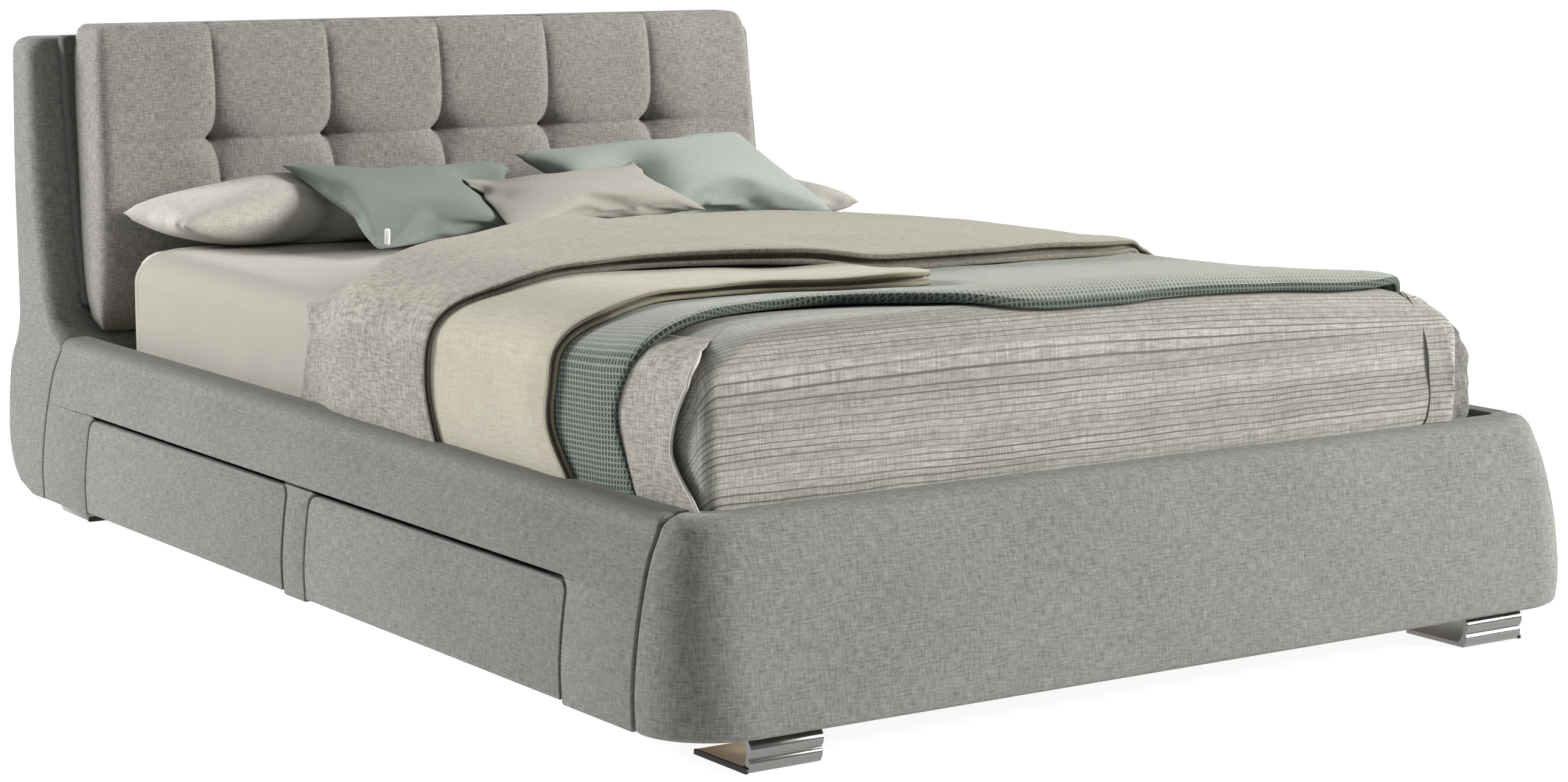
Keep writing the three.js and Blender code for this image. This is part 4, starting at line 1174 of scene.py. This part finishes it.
def inflate(name, width, depth, thickness, seed, cells=44):
    u, v = np.meshgrid(evenly(-1, 1, cells + 1), evenly(-1, 1, cells + 1), indexing="ij")
    bow = 0.02
    x = u * width / 2 * (1 - bow * (1 - v**2))
    y = v * depth / 2 * (1 - bow * (1 - u**2))
    puff = ((1 - u**4) * (1 - v**4)) ** 0.6
    rim = (np.abs(u) > 0.999) | (np.abs(v) > 0.999)
    z = np.where(rim, 0, thickness * 0.3 * puff + 0.0006)
    z = z * (1 + 0.05 * ripple(x, y, seed, 0.5))
    inside = ~rim.ravel()
    top = np.stack([x, y, z], -1).reshape(-1, 3)
    bottom = (top * (1, 1, -1))[inside]
    lower = np.arange(len(top))
    lower[inside] = len(top) + np.arange(len(bottom))
    faces = grid_faces(cells + 1, cells + 1)
    points = join([top, bottom])
    obj = new_object(name, points, [*faces, *lower[faces][:, ::-1]], points[:, :2])
    fix_normals(obj)
    modifier = obj.modifiers.new("cloth", "CLOTH")
    settings = modifier.settings
    settings.quality = 6
    settings.mass = 0.25
    settings.tension_stiffness = settings.compression_stiffness = 22
    settings.shear_stiffness = 12
    settings.bending_stiffness = 0.35
    settings.use_pressure = True
    settings.uniform_pressure_force = 3.2
    settings.effector_weights.gravity = 0
    modifier.collision_settings.use_collision = False
    modifier.point_cache.frame_start, modifier.point_cache.frame_end = 1, SIMULATED_FRAMES
    for step in range(1, SIMULATED_FRAMES + 1):
        scene.frame_set(step)
    apply_modifiers(obj)
    scene.frame_set(1)
    co, average = read(obj.data.vertices, "co", 3), neighbour_mean(obj.data)
    off_seam = np.ones(len(co), bool)
    off_seam[:len(top)] = inside
    for _ in range(5):  # eases the smallest wrinkles
        co[off_seam] = (0.4 * co + 0.6 * average(co))[off_seam]
    co[:, 2] *= thickness / 2 / np.abs(co[:, 2]).max()
    for k, size in enumerate((width, depth)):
        co[:, k] *= size / np.ptp(co[:, k])
    write_points(obj.data, co)
    subdivision = obj.modifiers.new("fine", "SUBSURF")
    subdivision.levels = subdivision.render_levels = 1
    apply_modifiers(obj)
    return obj


def tree_of(*objects):
    points, faces, start = [], [], 0
    for obj in objects:
        points += [v.co for v in obj.data.vertices]
        faces += [[start + i for i in p.vertices] for p in obj.data.polygons]
        start = len(points)
    return BVHTree.FromPolygons(points, faces)


def cast(tree, p, height, direction):
    """The height at which a ray from height over or under p, up (1) or down (-1), meets the tree, or None."""
    hit = tree.ray_cast(Vector((p[0], p[1], height)), Vector((0, 0, direction)))[0]
    return None if hit is None else hit.z


def move_up(obj, change):
    """Applies change(point, is_upper) to the height of each vertex, and eases the move out around it."""
    mesh = obj.data
    co = read(mesh.vertices, "co", 3)
    upper = [v.normal.z > 0 for v in mesh.vertices]
    need = np.array([change(p, u) for p, u in zip(co, upper)]) - co[:, 2]
    sign = -1 if need.sum() < 0 else 1
    need *= sign
    one, two = edge_ends(mesh)
    average = neighbour_mean(mesh)
    move = need
    for _ in range(4):
        wider = move.copy()
        np.maximum.at(wider, one, move[two])
        np.maximum.at(wider, two, move[one])
        move = wider
    for _ in range(8):
        move = average(move)
    for _ in range(40):
        move = np.maximum(need, average(move))
    co[:, 2] += move * sign
    write_points(mesh, co)


def rest_on(obj, *below):
    """Pushes the piece up where it would sink into what lies below."""
    tree = tree_of(*below)

    def change(p, upper):
        low = cast(tree, p, 2.0, -1)
        return p[2] if low is None else max(p[2], low + GAP + (LEAST if upper else 0.0))

    move_up(obj, change)


def press_down(obj, *above):
    """Flattens the piece where something above rests on it, down to a least thickness over the sheet."""
    high, low, least = tree_of(*above), tree_of(fitted), 0.012

    def change(p, upper):
        over, under = cast(high, p, 0.2, 1), cast(low, p, 2.0, -1)
        if over is None or under is None:
            return p[2]
        return min(p[2], max(over - GAP, under + least) if upper else max(over - GAP - LEAST, under + GAP))

    move_up(obj, change)


def place_cushion(name, material, node, corners, thickness, seed):
    """A stuffed cover whose seam's corners (front left, front right, rear right, rear left) are given."""
    front_left, front_right, rear_right, rear_left = np.array(corners, float)
    width = (np.linalg.norm(front_right - front_left) + np.linalg.norm(rear_right - rear_left)) / 2
    depth = (np.linalg.norm(rear_left - front_left) + np.linalg.norm(rear_right - front_right)) / 2
    obj = inflate(name, width, depth, thickness, seed)
    co, average = read(obj.data.vertices, "co", 3), neighbour_mean(obj.data)
    tips = [co[np.argmax(co[:, 0] * i + co[:, 1] * j)] for i in (-1, 1) for j in (-1, 1)]
    near_tip = np.min([np.linalg.norm(co - tip, axis=1) for tip in tips], axis=0) < 0.035
    for _ in range(12):  # rounds off the sewn corners' thin ears
        co[near_tip] = average(co)[near_tip]
    u, v = (co[:, 0] / width + 0.5)[:, None], (co[:, 1] / depth + 0.5)[:, None]
    across = (front_right - front_left) * (1 - v) + (rear_right - rear_left) * v
    along = (rear_left - front_left) * (1 - u) + (rear_right - front_right) * u
    normal = np.cross(across, along)
    normal /= np.linalg.norm(normal, axis=1)[:, None]
    place = (front_left * (1 - u) + front_right * u) * (1 - v) + (rear_left * (1 - u) + rear_right * u) * v
    write_points(obj.data, place + normal * co[:, 2:])
    settle(obj, "base", material, [node])
    return obj


pillow_left = place_cushion(
    "pillow_left_cover", pillow_cloth, "pillow_left",
    ((-0.706, 0.69, 0.57), (-0.06, 0.56, 0.572), (-0.06, 0.895, 0.585), (-0.734, 0.905, 0.578)), 0.148, 41)
pillow_right = place_cushion(
    "pillow_right_cover", pillow_cloth, "pillow_right",
    ((0.06, 0.56, 0.572), (0.7, 0.54, 0.556), (0.762, 0.74, 0.548), (0.05, 0.88, 0.585)), 0.11, 42)
for pillow in (pillow_left, pillow_right):
    rest_on(pillow, fitted)
sage_left = place_cushion(
    "cushion_sage_left_cover", sage_shaded_cloth, "cushion_sage_left",
    ((-0.465, 0.39, 0.536), (-0.01, 0.43, 0.545), (0.025, 0.805, 0.65), (-0.474, 0.8, 0.665)), 0.08, 43)
sage_right = place_cushion(
    "cushion_sage_right_cover", sage_lit_cloth, "cushion_sage_right",
    ((0.12, 0.45, 0.545), (0.59, 0.47, 0.545), (0.58, 0.82, 0.686), (0.04, 0.825, 0.662)), 0.095, 44)
cream_cushion = place_cushion(
    "cushion_cream_cover", cushion_cloth, "cushion_cream",
    ((-0.186, 0.4, 0.562), (0.242, 0.385, 0.576), (0.256, 0.69, 0.636), (-0.133, 0.7, 0.62)), 0.065, 45)
press_down(sage_left, cream_cushion)
press_down(sage_right, cream_cushion)
press_down(pillow_left, sage_left, sage_right)
press_down(pillow_right, sage_right, sage_left, cream_cushion)
for sage in (sage_left, sage_right):
    rest_on(sage, fitted, cover, pillow_left, pillow_right)
rest_on(cream_cushion, fitted, cover, sage_left, sage_right, pillow_left, pillow_right)


def make_zip_pull():
    """The small metal tag at the sage cushion's front corner."""
    outer = outline(-0.0035, 0.0035, -0.011, 0.011, 0.0034, 0.0022, steps=4)
    obj = loft("zip_pull", [(outer * 0.8, -0.0009), (outer, -0.0004), (outer, 0.0004), (outer * 0.8, 0.0009)])
    corner = min((v.co for v in sage_left.data.vertices), key=lambda co: co.x + co.y)
    turn = Matrix.Rotation(math.radians(-32), 4, "Z") @ Matrix.Rotation(math.radians(78), 4, "X")
    shift = Matrix.Translation(corner + Vector((0.016, -0.002, 0.02)))
    obj.data.transform(shift @ turn @ Matrix.Scale(1.35, 4))
    settle(obj, "base", zip_metal)


make_zip_pull()

# --- CAD nodes that stay

kept = {"timber": timber, "board": board, "lining": lining, "zinc_steel": zinc_steel,
        "painted_steel": painted_steel, "ticking": ticking}
slots = {part["node"]: part["material_slot"] for part in frame["record"]["subparts"]}
for name, node in frame["nodes"].items():
    if not node.hide_render and slots[name] in kept:
        node.data.materials.clear()
        node.data.materials.append(kept[slots[name]])
        if slots[name] in ("lining", "ticking"):
            box_uv(node)

# --- floor, light and camera


def make_floor():
    n = Nodes("floor")
    n.shader.inputs["Emission Color"].default_value = (1, 1, 1, 1)
    n.shader.inputs["Emission Strength"].default_value = 0.9
    grey = n.mix(n.noise(n.place(), scale=3, detail=2), rgb(134, 134, 134), rgb(138, 138, 138))
    size = 60.0
    floor = new_object("floor", [(-size, -size, 0), (size, -size, 0), (size, size, 0), (-size, size, 0)],
                       [range(4)])
    floor.data.materials.append(n.finish(grey, 0.9, specular=0.1))


def area_light(name, place, size, power, tint):
    """A soft disc aimed at the middle of the bed."""
    light = bpy.data.lights.new(name, "AREA")
    light.shape, light.size, light.energy, light.color = "DISK", size, power, tint
    obj = bpy.data.objects.new(name, light)
    obj.location = place
    obj.rotation_euler = (Vector((0, 0, 0.4)) - Vector(place)).to_track_quat("-Z", "Y").to_euler()
    scene.collection.objects.link(obj)


def make_world():
    """A white room: soft light on the bed, and full white where the camera looks past it."""
    world = bpy.data.worlds.new("studio")
    world.use_nodes = True
    nodes, links = world.node_tree.nodes, world.node_tree.links
    soft, white = nodes["Background"], nodes.new("ShaderNodeBackground")
    soft.inputs["Color"].default_value = white.inputs["Color"].default_value = (1, 1, 1, 1)
    soft.inputs["Strength"].default_value = 0.42
    seen, blend = nodes.new("ShaderNodeLightPath"), nodes.new("ShaderNodeMixShader")
    for source, target in ((seen.outputs["Is Camera Ray"], blend.inputs["Fac"]),
                           (soft.outputs[0], blend.inputs[1]), (white.outputs[0], blend.inputs[2]),
                           (blend.outputs[0], nodes["World Output"].inputs["Surface"])):
        links.new(source, target)
    scene.world = world
    scene.view_settings.view_transform = "Standard"


def make_camera(yaw, pitch, roll, place):
    forward = Vector((math.sin(yaw) * math.cos(pitch), math.cos(yaw) * math.cos(pitch), -math.sin(pitch)))
    level = Vector((math.cos(yaw), -math.sin(yaw), 0))
    upright = level.cross(forward)
    right = level * math.cos(roll) + upright * math.sin(roll)
    up = upright * math.cos(roll) - level * math.sin(roll)
    camera = bpy.data.objects.new("camera", bpy.data.cameras.new("camera"))
    scene.collection.objects.link(camera)
    camera.data.sensor_width = 36
    camera.data.lens = 77.39
    camera.data.clip_end = 200
    camera.matrix_world = Matrix.Translation(place) @ Matrix((right, up, -forward)).transposed().to_4x4()
    scene.camera = camera


make_floor()
area_light("front_right", (6.3, -5.5, 3.5), 3.2, 1850, (1.0, 0.99, 0.975))
area_light("rear_left", (-5.9, 6.0, 3.4), 3.2, 1500, (0.99, 0.995, 1.0))
make_world()
make_camera(*(math.radians(a) for a in (34.577, 8.79, 0.305)), (-3.1967, -4.8296, 1.202))
